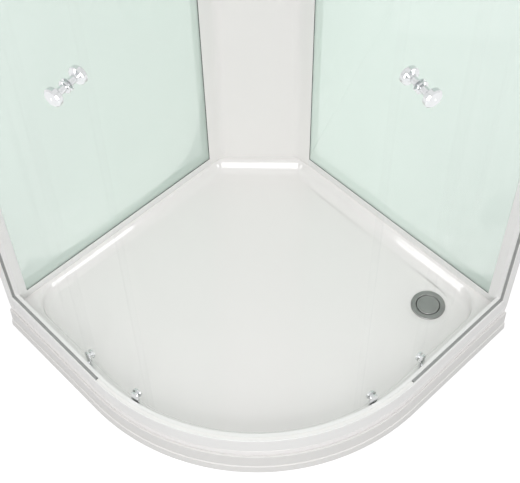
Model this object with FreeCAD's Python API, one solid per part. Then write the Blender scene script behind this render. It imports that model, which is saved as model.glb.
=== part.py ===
"""Quadrant shower enclosure: acrylic tray on a levelled steel frame, two tinted rear glass walls
with a corner column, wall posts, bottom and top rails, two fixed front panes and two curved doors
that run on rollers about the centre of the front curve.

Frame: millimetres, +Z up, floor at z = 0. The house walls are the planes x = -side/2 and
y = +side/2, and the curved front faces +X -Y. Left means the x = -side/2 wall, as seen from the
front. Everything right of the diagonal x = -y is the mirror of what is left of it.
"""
import FreeCAD, Part
import math
import os
from FreeCAD import Vector

os.makedirs("parts", exist_ok=True)

# ---------------------------------------------------------------- driving dimensions
side = 900.0                # wall to the foot of the apron, both ways
front_radius = 550.0        # plan radius of the apron's foot
quarter = 90.0              # degrees that the front curve turns
total_height = 2000.0       # floor to the top of the rails and posts
rim_height = 112.0          # floor to the tray's rim

# tray
shell = 5.0                 # acrylic thickness
skirt_wall = 4.0            # thickness of the tray's down-turned skirt
basin_depth = 31.0          # rim to basin floor, at the waste
floor_fall = 0.008          # slope of the basin floor towards the waste
basin_front_rim = 28.5      # rail to basin, along the front
basin_wall_rim = 42.0       # house wall to basin
basin_column_rim = 172.0    # house corner to the basin's chamfer, along the diagonal
basin_corner = 75.0         # plan radius of the basin's two front corners
basin_chamfer_corner = 30.0
basin_edge_round = 7.0
basin_floor_round = 10.0
laminate_under = 8.0        # shell and laminate under the waste

# waste
waste_from_front = 156.0    # waste to the plane of the apron's foot
waste_from_wall = 131.0     # waste to the house wall behind it
waste_flange_r = 43.5
waste_cap_r = 28.4
waste_hole_r = 34.5
waste_dish_r = 46.0
waste_dish_depth = 2.5
waste_bore_r = 30.2
outlet_r = 20.0
spigot_r = 19.2             # the pipe's end inside the trap's socket
outlet_wall = 2.2
outlet_z = 40.0
trap_r = 42.0
trap_bottom = 12.0

# bottom and top rails
rail_setback = 11.0         # rail's outer face behind the apron's foot
rail_width = 20.5
rail_height = 28.0
rail_skirt = 22.0           # outer wall over the tray's edge
rail_wall = 3.75
slot_width = 7.5
slot_depth = 16.0
lip_wall = 1.2              # lip that holds a wheel in its channel
web = 1.55                  # wall between a wheel channel and the glass slot
top_rail_height = 50.0

# glass
glass = 5.0                 # front panes and doors
wall_glass = 4.0
wall_glass_face = 29.0      # house wall to the face of the rear glass
wall_profile = 23.0         # height of the profiles under and over the rear glass
bite = 8.0                  # how far a rear glass goes into its groove

# posts and column
post_depth = 25.0
post_slot = 17.0
post_land = 43.0            # front edge of a post to the edge of the rear glass
column_wing = 223.5         # house corner to the column's edge, along the wall
column_face = 151.0         # house corner to the column's face, along the diagonal
column_turn = 178.0         # house corner to where a wing meets the face, along the wall
column_round = 35.0
column_wall = 4.0

# apron
apron_top = 68.0
apron_wall = 3.0
apron_step = 24.0           # height of the lower step
apron_gap = 1.5             # floor to the apron's foot

# doors
door_gap = 7.0              # rail's inner face to the door glass
door_leading = 1.15         # degrees, closed, from the diagonal
door_trailing = 46.4
door_open = 27.0            # degrees of travel about the centre of the curve
roller_angles = (5.5, 23.5)
top_wheel_r = 12.5
bottom_wheel_r = 8.2
wheel_width = 2.7
axle_r = 2.5
knob_height = 1150.0
knob_angle = 6.5

# levelling frame
tube = 25.0
tube_wall = 2.0
tube_bottom = 38.0
board = 10.0
stud_r = 5.0

# clearances
run = 0.3                   # between pieces that lie beside each other
fit = 0.05                  # radial, threads and axles

# ---------------------------------------------------------------- places worked out from them
wall = side / 2
centre = Vector(side / 2 - front_radius, front_radius - side / 2, 0)
straight = side - front_radius
rail_run = straight - post_depth
r_outer = front_radius - rail_setback
r_inner = r_outer - rail_width
slot_out = r_outer - rail_wall
slot_in = slot_out - slot_width
slot_mid = (slot_out + slot_in) / 2
channel_out = slot_in - web
channel_in = r_inner + lip_wall
r_tray = slot_out - run
rail_top = rim_height + rail_height
slot_floor = rail_top - slot_depth
channel_floor = rim_height + 7
channel_roof = rail_top - 4
top_rail_bottom = total_height - top_rail_height
top_slot_roof = top_rail_bottom + slot_depth + 2
top_channel_floor = top_rail_bottom + 12
top_channel_roof = total_height - 11
floor_z = rim_height - basin_depth
laminate_z = floor_z - laminate_under
board_z = laminate_z - board
door_out = r_inner - door_gap
door_in = door_out - glass
door_bottom = rim_height + 11
door_top = top_channel_roof - 5
bottom_axle_z = (channel_floor + channel_roof) / 2
top_axle_z = top_channel_floor + top_wheel_r + run
wheel_out = channel_out - 2 * run
wheel_in = wheel_out - wheel_width
glass_x = -wall + wall_glass_face
post_edge_y = centre.y - r_outer + post_land
column_edge_y = wall - column_wing
waste_x = wall - waste_from_front
waste_y = wall - waste_from_wall
waste = Vector(waste_x, waste_y, 0)
UP = Vector(0, 0, 1)


# ---------------------------------------------------------------- helpers
def save(shape, name):
    """Write one sub-part to its own STEP file."""
    shape.exportStep("parts/" + name + ".step")


def mirrored(shape):
    """The right-hand twin of a left-hand shape, across the plane x = -y."""
    return shape.mirror(Vector(0, 0, 0), Vector(1, 1, 0))


def save_pair(shape, name):
    """Write a left-hand shape and its right-hand twin."""
    save(shape, name + "_left")
    save(mirrored(shape), name + "_right")


def box(x0, x1, y0, y1, z0, z1):
    return Part.makeBox(x1 - x0, y1 - y0, z1 - z0, Vector(x0, y0, z0))


def rod(radius, start, end):
    """Cylinder from one point to another."""
    way = end - start
    return Part.makeCylinder(radius, way.Length, start, way)


def flat(points):
    """Face through a closed run of points."""
    return Part.Face(Part.makePolygon(points + points[:1]))


def turned(profile, place):
    """Solid of revolution about a vertical axis; the profile is (radius, height) pairs."""
    face = flat([Vector(r, 0, z) for r, z in profile])
    solid = face.revolve(Vector(0, 0, 0), UP, 360)
    solid.translate(place)
    return solid


def swung(shape, angle):
    """Copy of a shape turned about the centre of the front curve."""
    copy = shape.copy()
    copy.rotate(centre, UP, angle)
    return copy


def section(profile):
    """(radius, height) pairs as a face where the left straight meets the curve."""
    return flat([Vector(centre.x, centre.y - r, z) for r, z in profile])


def quadrant(profile, run_length):
    """Profile carried along the left straight, round the curve and along the right straight."""
    face = section(profile)
    left = face.extrude(Vector(-run_length, 0, 0))
    curve = face.revolve(centre, UP, quarter)
    right = swung(face, quarter).extrude(Vector(0, run_length, 0))
    return left.fuse([curve, right]).removeSplitter()


def sector(profile, start, end):
    """Profile swept round the curve between two angles, counted from the left straight."""
    return swung(section(profile).revolve(centre, UP, end - start), start)


def plan(radius, inset, z0, z1):
    """Prism of the quadrant's plan: walls brought in by inset, front at radius from the centre."""
    a = Vector(-wall + inset, centre.y - radius, z0)
    b = Vector(centre.x, centre.y - radius, z0)
    reach = radius * math.sqrt(0.5)
    middle = Vector(centre.x + reach, centre.y - reach, z0)
    c = Vector(centre.x + radius, centre.y, z0)
    d = Vector(centre.x + radius, wall - inset, z0)
    e = Vector(-wall + inset, wall - inset, z0)
    edges = [Part.makeLine(a, b), Part.Arc(b, middle, c).toShape(), Part.makeLine(c, d)]
    edges += [Part.makeLine(d, e), Part.makeLine(e, a)]
    return Part.Face(Part.Wire(edges)).extrude(Vector(0, 0, z1 - z0))


def upright_edges(shape, points, reach=3.0):
    """The vertical edges of a shape that stand at the given plan points."""
    found = []
    for edge in shape.Edges:
        ends = edge.Vertexes
        if len(ends) == 2 and abs(ends[0].X - ends[1].X) + abs(ends[0].Y - ends[1].Y) < 0.01:
            if any(math.hypot(ends[0].X - x, ends[0].Y - y) < reach for x, y in points):
                found.append(edge)
    return found


def basin(radius, wall_rim, column_rim, grow, z0, z1):
    """Prism of the basin's plan, with rounded corners and a chamfer in front of the column."""
    block = plan(radius, wall_rim, z0, z1)
    diagonal = 2 * wall - column_rim * math.sqrt(2)
    edge = wall - wall_rim
    near = diagonal - edge
    far = wall + radius
    chamfer = flat([Vector(-edge, near, z0), Vector(-near, edge, z0), Vector(-near, far, z0),
                    Vector(-far, far, z0), Vector(-far, near, z0)])
    block = block.cut(chamfer.extrude(Vector(0, 0, z1 - z0)))
    block = block.makeFillet(basin_corner + grow, upright_edges(
        block, [(-edge, centre.y - radius), (centre.x + radius, edge)]))
    return block.makeFillet(basin_chamfer_corner + grow, upright_edges(
        block, [(-edge, near), (-near, edge)]))


def above_floor():
    """Everything over the basin's sloping floor, which falls towards the waste."""
    fall_line = Vector(-1, -1, 0).normalize()
    across = Vector(1, -1, 0).normalize()
    uphill = 2 * side
    start = waste - fall_line * side - across * side
    low = floor_z - floor_fall * side
    high = floor_z + floor_fall * uphill
    end = start + fall_line * (side + uphill)
    corners = [start + UP * low, end + UP * high, end + UP * total_height, start + UP * total_height]
    return flat(corners).extrude(across * 2 * side)


# ---------------------------------------------------------------- tray
def tray_shell():
    """Vacuum-formed tray: rim, joggled skirt, basin with a falling floor, waste dish and hole."""
    joggle = rim_height - rail_skirt - run
    skirt_foot = apron_top + run
    body = plan(r_tray, 0, skirt_foot, rim_height)
    body = body.fuse(plan(r_outer, 0, skirt_foot, joggle))
    body = body.cut(plan(r_tray - skirt_wall, skirt_wall, skirt_foot, rim_height - shell))
    body = body.cut(plan(r_outer - skirt_wall, skirt_wall, skirt_foot, joggle - skirt_wall))
    radius = r_inner - basin_front_rim
    body = body.fuse(basin(radius + shell, basin_wall_rim - shell, basin_column_rim - shell,
                           shell, laminate_z, rim_height - 1))
    hollow = basin(radius, basin_wall_rim, basin_column_rim, 0, laminate_z, rim_height + 1)
    hollow = hollow.common(above_floor())
    foot = [e for e in hollow.Edges if e.BoundBox.ZMax < rim_height - basin_floor_round]
    hollow = hollow.makeFillet(basin_floor_round, foot)
    body = body.cut(hollow).removeSplitter()
    lip = [e for e in body.Edges if e.BoundBox.ZMin > rim_height - 0.01 and
           not on_outline(e)]
    body = body.makeFillet(basin_edge_round, lip)
    dish_floor = floor_z - waste_dish_depth
    dish_top = floor_z + 2
    slope = 3.0
    dish = Part.makeCone(waste_dish_r, waste_dish_r + slope * (dish_top - dish_floor),
                         dish_top - dish_floor, waste + UP * dish_floor)
    hole = rod(waste_hole_r, waste, waste + UP * floor_z)
    return body.cut([dish, hole])


def on_outline(edge):
    """True for an edge on the tray's outer outline."""
    box_of = edge.BoundBox
    middle = edge.valueAt((edge.FirstParameter + edge.LastParameter) / 2)
    if abs(middle.x + wall) < 1 or abs(middle.y - wall) < 1:
        return True
    if box_of.XMax > centre.x + 1 and box_of.YMin < centre.y - 1:
        return (middle - centre - UP * middle.z).Length > r_tray - 1
    return middle.y < centre.y - r_tray + 1 or middle.x > centre.x + r_tray - 1


def tray_board():
    """Reinforcement board under the basin, cut out round the trap and its outlet."""
    margin = 24.0
    slab = basin(r_inner - basin_front_rim - margin, basin_wall_rim + margin,
                 basin_column_rim + margin, 0, board_z, laminate_z)
    clear = 18.0
    slab = slab.cut(rod(trap_r + clear, waste, waste + UP * laminate_z))
    slab = slab.cut(box(waste_x - trap_r, waste_x + trap_r, waste_y, wall, board_z, laminate_z))
    return slab.cut([rod(screw_r + fit, p, p + UP * (screw_top + 0.5)) for p in screw_places])


beam_left = -wall + 120     # centre lines of the frame's tubes
beam_right = wall - 260
beam_cross = 0.0
foot_inset = 65.0           # foot to the nearest wall plane
middle_foot = Vector((beam_left + beam_right) / 2, beam_cross, 0)
foot_places = [Vector(beam_left, -wall + foot_inset + 30, 0),
               Vector(beam_left, wall - foot_inset, 0),
               Vector(beam_right, -wall + foot_inset + 145, 0),
               Vector(beam_right, wall - foot_inset, 0),
               Vector(wall - foot_inset, beam_cross, 0), middle_foot]
crossings = [Vector(beam_left, beam_cross, 0), Vector(beam_left, beam_cross, 0),
             Vector(beam_right, beam_cross, 0), Vector(beam_right, beam_cross, 0),
             Vector(beam_right, beam_cross, 0), Vector(beam_left, beam_cross, 0)]
screw_places = [(foot + crossing) * 0.5 for foot, crossing in zip(foot_places, crossings)]
screw_r = 2.4
screw_top = laminate_z - 3


def square_tube(x0, x1, y0, y1, along_x):
    """Hollow square tube between two plan corners, open at its ends."""
    inner = tube_wall
    solid = box(x0, x1, y0, y1, tube_bottom, board_z)
    if along_x:
        return solid.cut(box(x0, x1, y0 + inner, y1 - inner, tube_bottom + inner, board_z - inner))
    return solid.cut(box(x0 + inner, x1 - inner, y0, y1, tube_bottom + inner, board_z - inner))


def tray_frame():
    """Welded frame: two long tubes, a cross tube between them and a stub to the front foot."""
    half = tube / 2
    over = 15.0
    left = square_tube(beam_left - half, beam_left + half, foot_places[0].y - over,
                       foot_places[1].y + over, False)
    right = square_tube(beam_right - half, beam_right + half, foot_places[2].y - over,
                        foot_places[3].y + over, False)
    cross = square_tube(beam_left + half, beam_right - half, beam_cross - half,
                        beam_cross + half, True)
    stub = square_tube(beam_right + half, foot_places[4].x + over, beam_cross - half,
                       beam_cross + half, True)
    frame = left.fuse([right, cross, stub])
    holes = [rod(stud_r + run, p, p + UP * board_z) for p in foot_places]
    holes += [rod(screw_r + fit, p, p + UP * board_z) for p in screw_places]
    return frame.cut(holes)


def nut(across, height, bore, place):
    """Hexagon nut standing on a point."""
    corner_r = across / math.sqrt(3)
    angles = [math.radians(60 * i) for i in range(6)]
    ring = flat([place + Vector(corner_r * math.cos(a), corner_r * math.sin(a), 0) for a in angles])
    return ring.extrude(UP * height).cut(rod(bore, place, place + UP * height))


pad_socket = 16.0           # height of a foot pad with its socket
stud_foot = 5.0             # underside of a stud over the floor
pad_profile = [(0, 0), (22, 0), (22, 4), (13, 9), (10, pad_socket), (stud_r + fit, pad_socket),
               (stud_r + fit, stud_foot), (0, stud_foot)]
nut_across = 17.0
nut_height = 8.0
screw_head = [(0, tube_bottom - 2.6), (3.2, tube_bottom - 2.6), (4.6, tube_bottom), (0, tube_bottom)]

save(tray_shell(), "tray_shell")
save(tray_board(), "tray_board")
save(tray_frame(), "tray_frame")
save(Part.makeCompound([rod(stud_r, p + UP * stud_foot, p + UP * (board_z - run))
                        for p in foot_places]), "levelling_studs")
save(Part.makeCompound([nut(nut_across, nut_height, stud_r + fit, p + UP * z)
                        for p in foot_places
                        for z in (pad_socket, tube_bottom - nut_height)]), "levelling_nuts")
save(Part.makeCompound([turned(pad_profile, p) for p in foot_places]), "foot_pads")
save(Part.makeCompound([turned(screw_head, p).fuse(
    rod(screw_r, p + UP * tube_bottom, p + UP * screw_top)) for p in screw_places]), "frame_screws")

# ---------------------------------------------------------------- waste
ring_top = floor_z + 0.8
ring_seat = floor_z - waste_dish_depth + run
thread_r = waste_hole_r - 1
thread_foot = 60.0
shoulder = 72.0
basket_r = 26.2
ring_profile = [(waste_flange_r, ring_seat), (waste_flange_r, ring_top - 1.5),
                (waste_flange_r - 1.5, ring_top), (waste_bore_r + 1, ring_top),
                (waste_bore_r, ring_top - 1), (waste_bore_r, shoulder),
                (basket_r + run, shoulder - 2), (basket_r + run, thread_foot),
                (thread_r, thread_foot), (thread_r, ring_seat)]
gasket_z = laminate_z - 2
trap_bore = thread_r + run
trap_wall = 2.5
trap_profile = [(0, trap_bottom), (trap_r, trap_bottom), (trap_r, gasket_z - 7),
                (trap_r + 4, gasket_z - 4), (trap_r + 4, gasket_z), (trap_bore, gasket_z),
                (trap_bore, thread_foot), (trap_r - trap_wall, thread_foot),
                (trap_r - trap_wall, trap_bottom + 3), (0, trap_bottom + 3)]
basket_foot = 34.0
basket_wall = 2.0
basket_lip = shoulder + run
basket_profile = [(0, basket_foot), (basket_r, basket_foot), (basket_r, basket_lip),
                  (waste_bore_r - run, basket_lip), (waste_bore_r - run, basket_lip + 1.6),
                  (basket_r - basket_wall, basket_lip + 1.6), (basket_r - basket_wall,
                                                             basket_foot + basket_wall),
                  (0, basket_foot + basket_wall)]
cap_under = ring_top - 1.4
cap_profile = [(0, cap_under), (waste_cap_r, cap_under), (waste_cap_r, ring_top - 0.2),
               (waste_cap_r - 1.2, ring_top + 0.8), (0, ring_top + 1.2)]


def waste_strainer():
    """Lift-out basket with slots round its wall and holes in its floor."""
    basket = turned(basket_profile, waste)
    slot = box(-2, 2, 0, basket_r + 1, basket_foot + 8, basket_foot + 30)
    holes = []
    for i in range(8):
        gap = slot.copy()
        gap.rotate(Vector(0, 0, 0), UP, 45 * i)
        gap.translate(waste)
        holes.append(gap)
        spot = waste + Vector(15 * math.cos(math.pi * i / 4), 15 * math.sin(math.pi * i / 4), 0)
        holes.append(rod(3, spot, spot + UP * (basket_foot + 5)))
    return basket.cut(holes)


def waste_cap():
    """Cover disc on three feet that stand on the basket's lip; water runs in round its edge."""
    cap = turned(cap_profile, waste)
    feet = []
    for i in range(3):
        foot = box(waste_bore_r - 7, waste_bore_r - 3, -3, 3, basket_lip + 1.6 + run, cap_under + 0.5)
        foot.rotate(Vector(0, 0, 0), UP, 120 * i)
        foot.translate(waste)
        feet.append(foot)
    return cap.fuse(feet)


socket_r = outlet_r + 4
socket_end = waste_y + trap_r + 18
nut_r = socket_r + 4
nut_over = 5.0              # nut past the socket's mouth
pipe_end = wall - 10


def outlet(radius, start, end):
    """Cylinder along the outlet's axis, which points at the rear wall."""
    return rod(radius, Vector(waste_x, start, outlet_z), Vector(waste_x, end, outlet_z))


def waste_body():
    """Shallow trap with a socket for the outlet pipe."""
    body = turned(trap_profile, waste)
    socket = outlet(socket_r, waste_y, socket_end)
    socket = socket.cut(rod(trap_r - 1, waste, waste + UP * total_height))
    body = body.fuse(socket)
    return body.cut(outlet(spigot_r + fit, waste_y + trap_r - 4, socket_end))


def outlet_pipe():
    """Outlet pipe: a spigot in the socket and nut, and the full-size free end."""
    start = waste_y + trap_r
    pipe = outlet(spigot_r, start, pipe_end)
    pipe = pipe.fuse(outlet(outlet_r, socket_end + nut_over + run, pipe_end))
    return pipe.cut(outlet(spigot_r - outlet_wall, start, pipe_end))


def outlet_nut():
    """Ribbed compression nut that holds the pipe in the trap's socket."""
    start = socket_end - 12
    end = socket_end + nut_over
    ring = outlet(nut_r, start, end)
    ring = ring.cut([outlet(socket_r + run, start, socket_end + run),
                     outlet(spigot_r + fit, start, end)])
    flutes = []
    for i in range(12):
        angle = math.radians(30 * i)
        edge = Vector(nut_r * math.cos(angle), 0, nut_r * math.sin(angle))
        flutes.append(rod(1.5, Vector(waste_x, start, outlet_z) + edge,
                          Vector(waste_x, end, outlet_z) + edge))
    return ring.cut(flutes)


save(turned(ring_profile, waste), "waste_flange")
save(waste_cap(), "waste_cap")
save(waste_strainer(), "waste_strainer")
save(turned([(waste_hole_r, gasket_z), (trap_r + 3, gasket_z), (trap_r + 3, laminate_z),
             (waste_hole_r, laminate_z)], waste), "waste_gasket")
save(waste_body(), "waste_body")
save(outlet_pipe(), "waste_pipe")
save(outlet_nut(), "waste_nut")

# ---------------------------------------------------------------- front apron
apron_ledge = r_outer + 4.5
lip_out = r_outer - skirt_wall - run
lip_top = rim_height - rail_skirt - skirt_wall - 3 * run
flare = [(apron_ledge, apron_top), (apron_ledge + 1.5, apron_step + 1),
         (front_radius - 2.4, apron_step - 0.5), (front_radius, apron_gap)]


def front_apron():
    """Skirting panel: hooked lip behind the tray's skirt, ledge, face, lower step and foot."""
    outside = [(lip_out, lip_top), (lip_out, apron_top)] + flare
    inside = [(r - apron_wall, z - 1.2) for r, z in reversed(flare[:-1])]
    profile = outside + [(front_radius - apron_wall, apron_gap)] + inside[:-1]
    profile += [(apron_ledge - apron_wall, apron_top - apron_wall),
                (lip_out - apron_wall, apron_top - apron_wall), (lip_out - apron_wall, lip_top)]
    panel = quadrant(profile, straight - run)
    relief = box(-wall, -wall + skirt_wall + run, centre.y - lip_out, centre.y, apron_top,
                 rim_height)
    return panel.cut([relief, mirrored(relief)])


def apron_brackets():
    """Angle brackets under the rim that stand behind the apron's lip."""
    back = lip_out - apron_wall - 0.4
    under = rim_height - shell
    width = 30.0
    leg = 3.0
    upper = r_tray - skirt_wall - 2 * run
    profile = [(back - 26, under), (back - 26, under - leg), (back - 4.2, under - leg),
               (back - 4.2, apron_top + 2), (back, apron_top + 2), (back, lip_top),
               (upper, lip_top), (upper, under)]
    bracket = section(profile).extrude(Vector(-width, 0, 0))
    bracket.translate(Vector(width / 2, 0, 0))
    group = []
    for along in (70, 210):
        piece = bracket.copy()
        piece.translate(Vector(-along - width / 2, 0, 0))
        group += [piece, mirrored(piece)]
    for share in (0.25, 0.5, 0.75):
        group.append(swung(bracket, share * quarter))
    return Part.makeCompound(group)


save(front_apron(), "front_apron")
save(apron_brackets(), "apron_brackets")

# ---------------------------------------------------------------- rails
screw_hole_r = 2.1
rail_head_r = 3.4
rail_head_sunk = 5.0
bottom_screw_z = rim_height + 3.8
top_screw_z = total_height - 5.5
rail_screw_r = r_outer - 16
rail_screw_y = centre.y - rail_screw_r
rail_screw_reach = 20.0


def rail_screw_holes():
    """Pilot holes in both ends of a rail."""
    start = -wall + post_depth
    holes = []
    for z in (bottom_screw_z, top_screw_z):
        hole = rod(screw_hole_r, Vector(start, rail_screw_y, z),
                   Vector(start + rail_screw_reach + 2, rail_screw_y, z))
        holes += [hole, mirrored(hole)]
    return holes


def bottom_rail():
    """Sill rail: skirt over the tray's edge, glass slot, and a wheel channel open to the inside."""
    mouth = 5.5
    profile = [(r_outer, rim_height - rail_skirt), (r_outer, rail_top), (slot_out, rail_top),
               (slot_out, slot_floor), (slot_in, slot_floor), (slot_in, rail_top),
               (r_inner, rail_top), (r_inner, bottom_axle_z + mouth),
               (channel_in, bottom_axle_z + mouth), (channel_in, channel_roof),
               (channel_out, channel_roof), (channel_out, channel_floor),
               (channel_in, channel_floor), (channel_in, bottom_axle_z - mouth),
               (r_inner, bottom_axle_z - mouth), (r_inner, rim_height), (slot_out, rim_height),
               (slot_out, rim_height - rail_skirt)]
    return quadrant(profile, rail_run).cut(rail_screw_holes())


def top_rail():
    """Head rail: glass slot open downwards and the channel that carries the doors' wheels."""
    mouth = 10.0
    leg = 2.0
    profile = [(r_outer, top_rail_bottom), (r_outer, total_height), (r_inner, total_height),
               (r_inner, top_axle_z + mouth), (channel_in, top_axle_z + mouth),
               (channel_in, top_channel_roof), (channel_out, top_channel_roof),
               (channel_out, top_channel_floor), (channel_in, top_channel_floor),
               (channel_in, top_axle_z - mouth), (r_inner, top_axle_z - mouth),
               (r_inner, top_channel_floor - 3), (slot_in - leg, top_channel_floor - 3),
               (slot_in - leg, top_rail_bottom), (slot_in, top_rail_bottom),
               (slot_in, top_slot_roof), (slot_out, top_slot_roof), (slot_out, top_rail_bottom)]
    return quadrant(profile, rail_run).cut(rail_screw_holes())


cover_end = 0.9             # degrees of slot left open past each straight


def sill_cover():
    """Clip-in cover that closes the glass slot round the curve; its ends are hollowed round."""
    side_gap = 0.15
    skin = 2.0
    leg = 1.2
    inner = slot_in + side_gap
    outer = slot_out - side_gap
    profile = [(inner, slot_floor + run), (inner, rail_top), (outer, rail_top),
               (outer, slot_floor + run), (outer - leg, slot_floor + run),
               (outer - leg, rail_top - skin), (inner + leg, rail_top - skin),
               (inner + leg, slot_floor + run)]
    cover = sector(profile, cover_end / 2, quarter - cover_end / 2)
    notch = rod(slot_width / 2, Vector(centre.x, centre.y - slot_mid, rim_height),
                Vector(centre.x, centre.y - slot_mid, total_height))
    return cover.cut([swung(notch, cover_end / 2), swung(notch, quarter - cover_end / 2)])


save(bottom_rail(), "bottom_rail")
save(top_rail(), "top_rail")
save(sill_cover(), "sill_cover")

# ---------------------------------------------------------------- posts
groove_front = glass_x + 0.8
groove_back = glass_x - wall_glass - run
face_x = groove_front + 1.2
groove_deep = bite + 0.5
post_front = -wall + post_depth
wall_screw_heights = [340.0, 1000.0, 1660.0]
wall_screw_r = 2.2


def left_plan(points, z0, z1):
    """Upright extrusion of a plan outline."""
    return flat([Vector(x, y, z0) for x, y in points]).extrude(Vector(0, 0, z1 - z0))


def wall_post():
    """Wall post: skirt, slot for the front pane, and a groove for the rear glass."""
    y_front = centre.y - r_outer
    y_slot_out = centre.y - slot_out
    y_slot_in = centre.y - slot_in
    y_rail = centre.y - r_inner
    outline = [(-wall, y_front), (post_front, y_front), (post_front, y_slot_out),
               (post_front - post_slot, y_slot_out), (post_front - post_slot, y_slot_in),
               (post_front, y_slot_in), (post_front, y_rail - 5.5), (face_x, y_rail + 0.5),
               (face_x, post_edge_y), (groove_front, post_edge_y),
               (groove_front, post_edge_y - groove_deep), (groove_back, post_edge_y - groove_deep),
               (groove_back, post_edge_y), (-wall, post_edge_y)]
    post = left_plan(outline, rim_height, total_height)
    post = post.makeFillet(4.0, upright_edges(post, [(face_x, y_rail + 0.5)], 0.5))
    post = post.fuse(box(-wall, post_front, y_front, y_slot_out, rim_height - rail_skirt,
                         rim_height + 1)).removeSplitter()
    hollow = box(-wall + 3, groove_back - 3, y_rail, post_edge_y - groove_deep - 2,
                 rim_height, total_height)
    holes = [hollow]
    for low, high in ((rim_height, rail_top + run), (top_rail_bottom - run, total_height)):
        holes.append(box(post_front, face_x, y_front, y_rail + run, low, high))
    for z in wall_screw_heights:
        holes.append(rod(wall_screw_r, Vector(-wall, centre.y - slot_mid, z),
                         Vector(post_front, centre.y - slot_mid, z)))
    for z in (bottom_screw_z, top_screw_z):
        holes.append(rod(screw_hole_r, Vector(-wall, rail_screw_y, z),
                         Vector(post_front, rail_screw_y, z)))
        holes.append(rod(rail_head_r + run, Vector(-wall, rail_screw_y, z),
                         Vector(-wall + rail_head_sunk, rail_screw_y, z)))
    return post.cut(holes)


def screw_along_x(head_r, head, shank_r, start, end, y, z):
    """Pan-head screw whose head sits before its start and whose shank ends at end."""
    way = 1 if end > start else -1
    top = rod(head_r, Vector(start - way * head, y, z), Vector(start, y, z))
    dome = top.makeFillet(head * 0.6, [e for e in top.Edges if len(e.Vertexes) == 1 and abs(
        e.CenterOfMass.x - (start - way * head)) < 0.01])
    return dome.fuse(rod(shank_r, Vector(start, y, z), Vector(end, y, z)))


def rail_screws():
    """Screws through the backs of the posts into the ends of the rails."""
    group = []
    for z in (bottom_screw_z, top_screw_z):
        screw = screw_along_x(rail_head_r, 2.4, screw_hole_r - fit, -wall + rail_head_sunk,
                              post_front + rail_screw_reach, rail_screw_y, z)
        group += [screw, mirrored(screw)]
    return Part.makeCompound(group)


def wall_screws():
    """Screws at the bottom of the posts' slots, which fix the posts to the house walls."""
    group = []
    for z in wall_screw_heights:
        seat = post_front - post_slot
        screw = screw_along_x(3.5, 2.0, wall_screw_r - fit, seat, -wall, centre.y - slot_mid, z)
        group += [screw, mirrored(screw)]
    return Part.makeCompound(group)


save_pair(wall_post(), "wall_post")
save(rail_screws(), "rail_screws")
save(wall_screws(), "wall_screws")

# ---------------------------------------------------------------- rear glass walls
sight_low = rim_height + wall_profile
sight_high = total_height - wall_profile


def wall_profile_bar(foot, top_side):
    """Horizontal profile of a rear wall, with its groove towards the glass."""
    reach = 1 if top_side else -1
    sight = sight_low if top_side else sight_high
    deep = sight - reach * groove_deep
    outline = [(-wall, foot), (face_x, foot), (face_x, sight), (groove_front, sight),
               (groove_front, deep), (groove_back, deep), (groove_back, sight), (-wall, sight)]
    face = flat([Vector(x, post_edge_y, z) for x, z in outline])
    bar = face.extrude(Vector(0, column_edge_y - post_edge_y, 0))
    low = min(foot, sight) + 3
    high = max(foot, sight) - 3
    return bar.cut(box(-wall + 3, groove_back - 3, post_edge_y, column_edge_y, low, high))


def wall_gasket():
    """Dark glazing gasket: a frame pressed between the glass and the lips round it."""
    def ring(x1, out, inn):
        low = box(glass_x, x1, post_edge_y - out, column_edge_y + out,
                  sight_low - out, sight_high + out)
        return low.cut(box(glass_x, x1, post_edge_y + inn, column_edge_y - inn,
                           sight_low + inn, sight_high - inn))
    show = 2.5
    behind = bite - 2
    return ring(groove_front, behind, show).fuse(ring(face_x - run, -0.1, show))


save_pair(wall_profile_bar(rim_height, True), "wall_sill")
save_pair(wall_profile_bar(total_height, False), "wall_head")
save_pair(box(glass_x - wall_glass, glass_x, post_edge_y - bite, column_edge_y + bite,
              sight_low - bite, sight_high + bite), "wall_glass")
save_pair(wall_gasket(), "wall_gasket")

# ---------------------------------------------------------------- corner column
wing_turn = wall - column_turn


def column_paths():
    """Left halves of the column's visible and hidden outlines."""
    diagonal = 2 * wall - column_face * math.sqrt(2)
    turn_x = wing_turn - diagonal
    tip = (face_x, column_edge_y)
    turn = (turn_x, wing_turn)
    slope = (turn[0] - tip[0]) / (turn[1] - tip[1])
    grow = column_wall * math.sqrt(1 + slope * slope)
    back_diagonal = diagonal + column_wall * math.sqrt(2)
    back_x0 = tip[0] - grow
    back_y = (back_x0 - slope * tip[1] + back_diagonal) / (1 - slope)
    back_turn = (back_y - back_diagonal, back_y)
    end_y = column_edge_y + groove_deep + column_wall
    back_end = (back_x0 + slope * (end_y - tip[1]), end_y)
    return tip, turn, back_turn, back_end


def corner_column():
    """Moulded column across the corner: two wings that take the rear glass, and a broad face."""
    tip, turn, back_turn, back_end = column_paths()
    edge = column_edge_y
    foot_x = groove_back - column_wall
    half = [(-wall, edge), (groove_back, edge), (groove_back, edge + groove_deep),
            (groove_front, edge + groove_deep), (groove_front, edge), tip, turn]
    hidden = [back_turn, back_end, (foot_x, back_end[1]), (foot_x, edge + column_wall),
              (-wall, edge + column_wall)]
    outline = half + [(-y, -x) for x, y in reversed(half)]
    outline += [(-y, -x) for x, y in reversed(hidden)] + hidden
    column = left_plan(outline, rim_height, total_height)
    twin = (-turn[1], -turn[0])
    column = column.makeFillet(column_round, upright_edges(column, [turn, twin], 0.5))
    back_twin = (-back_turn[1], -back_turn[0])
    return column.makeFillet(column_round + column_wall,
                             upright_edges(column, [back_turn, back_twin], 0.5))


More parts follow.
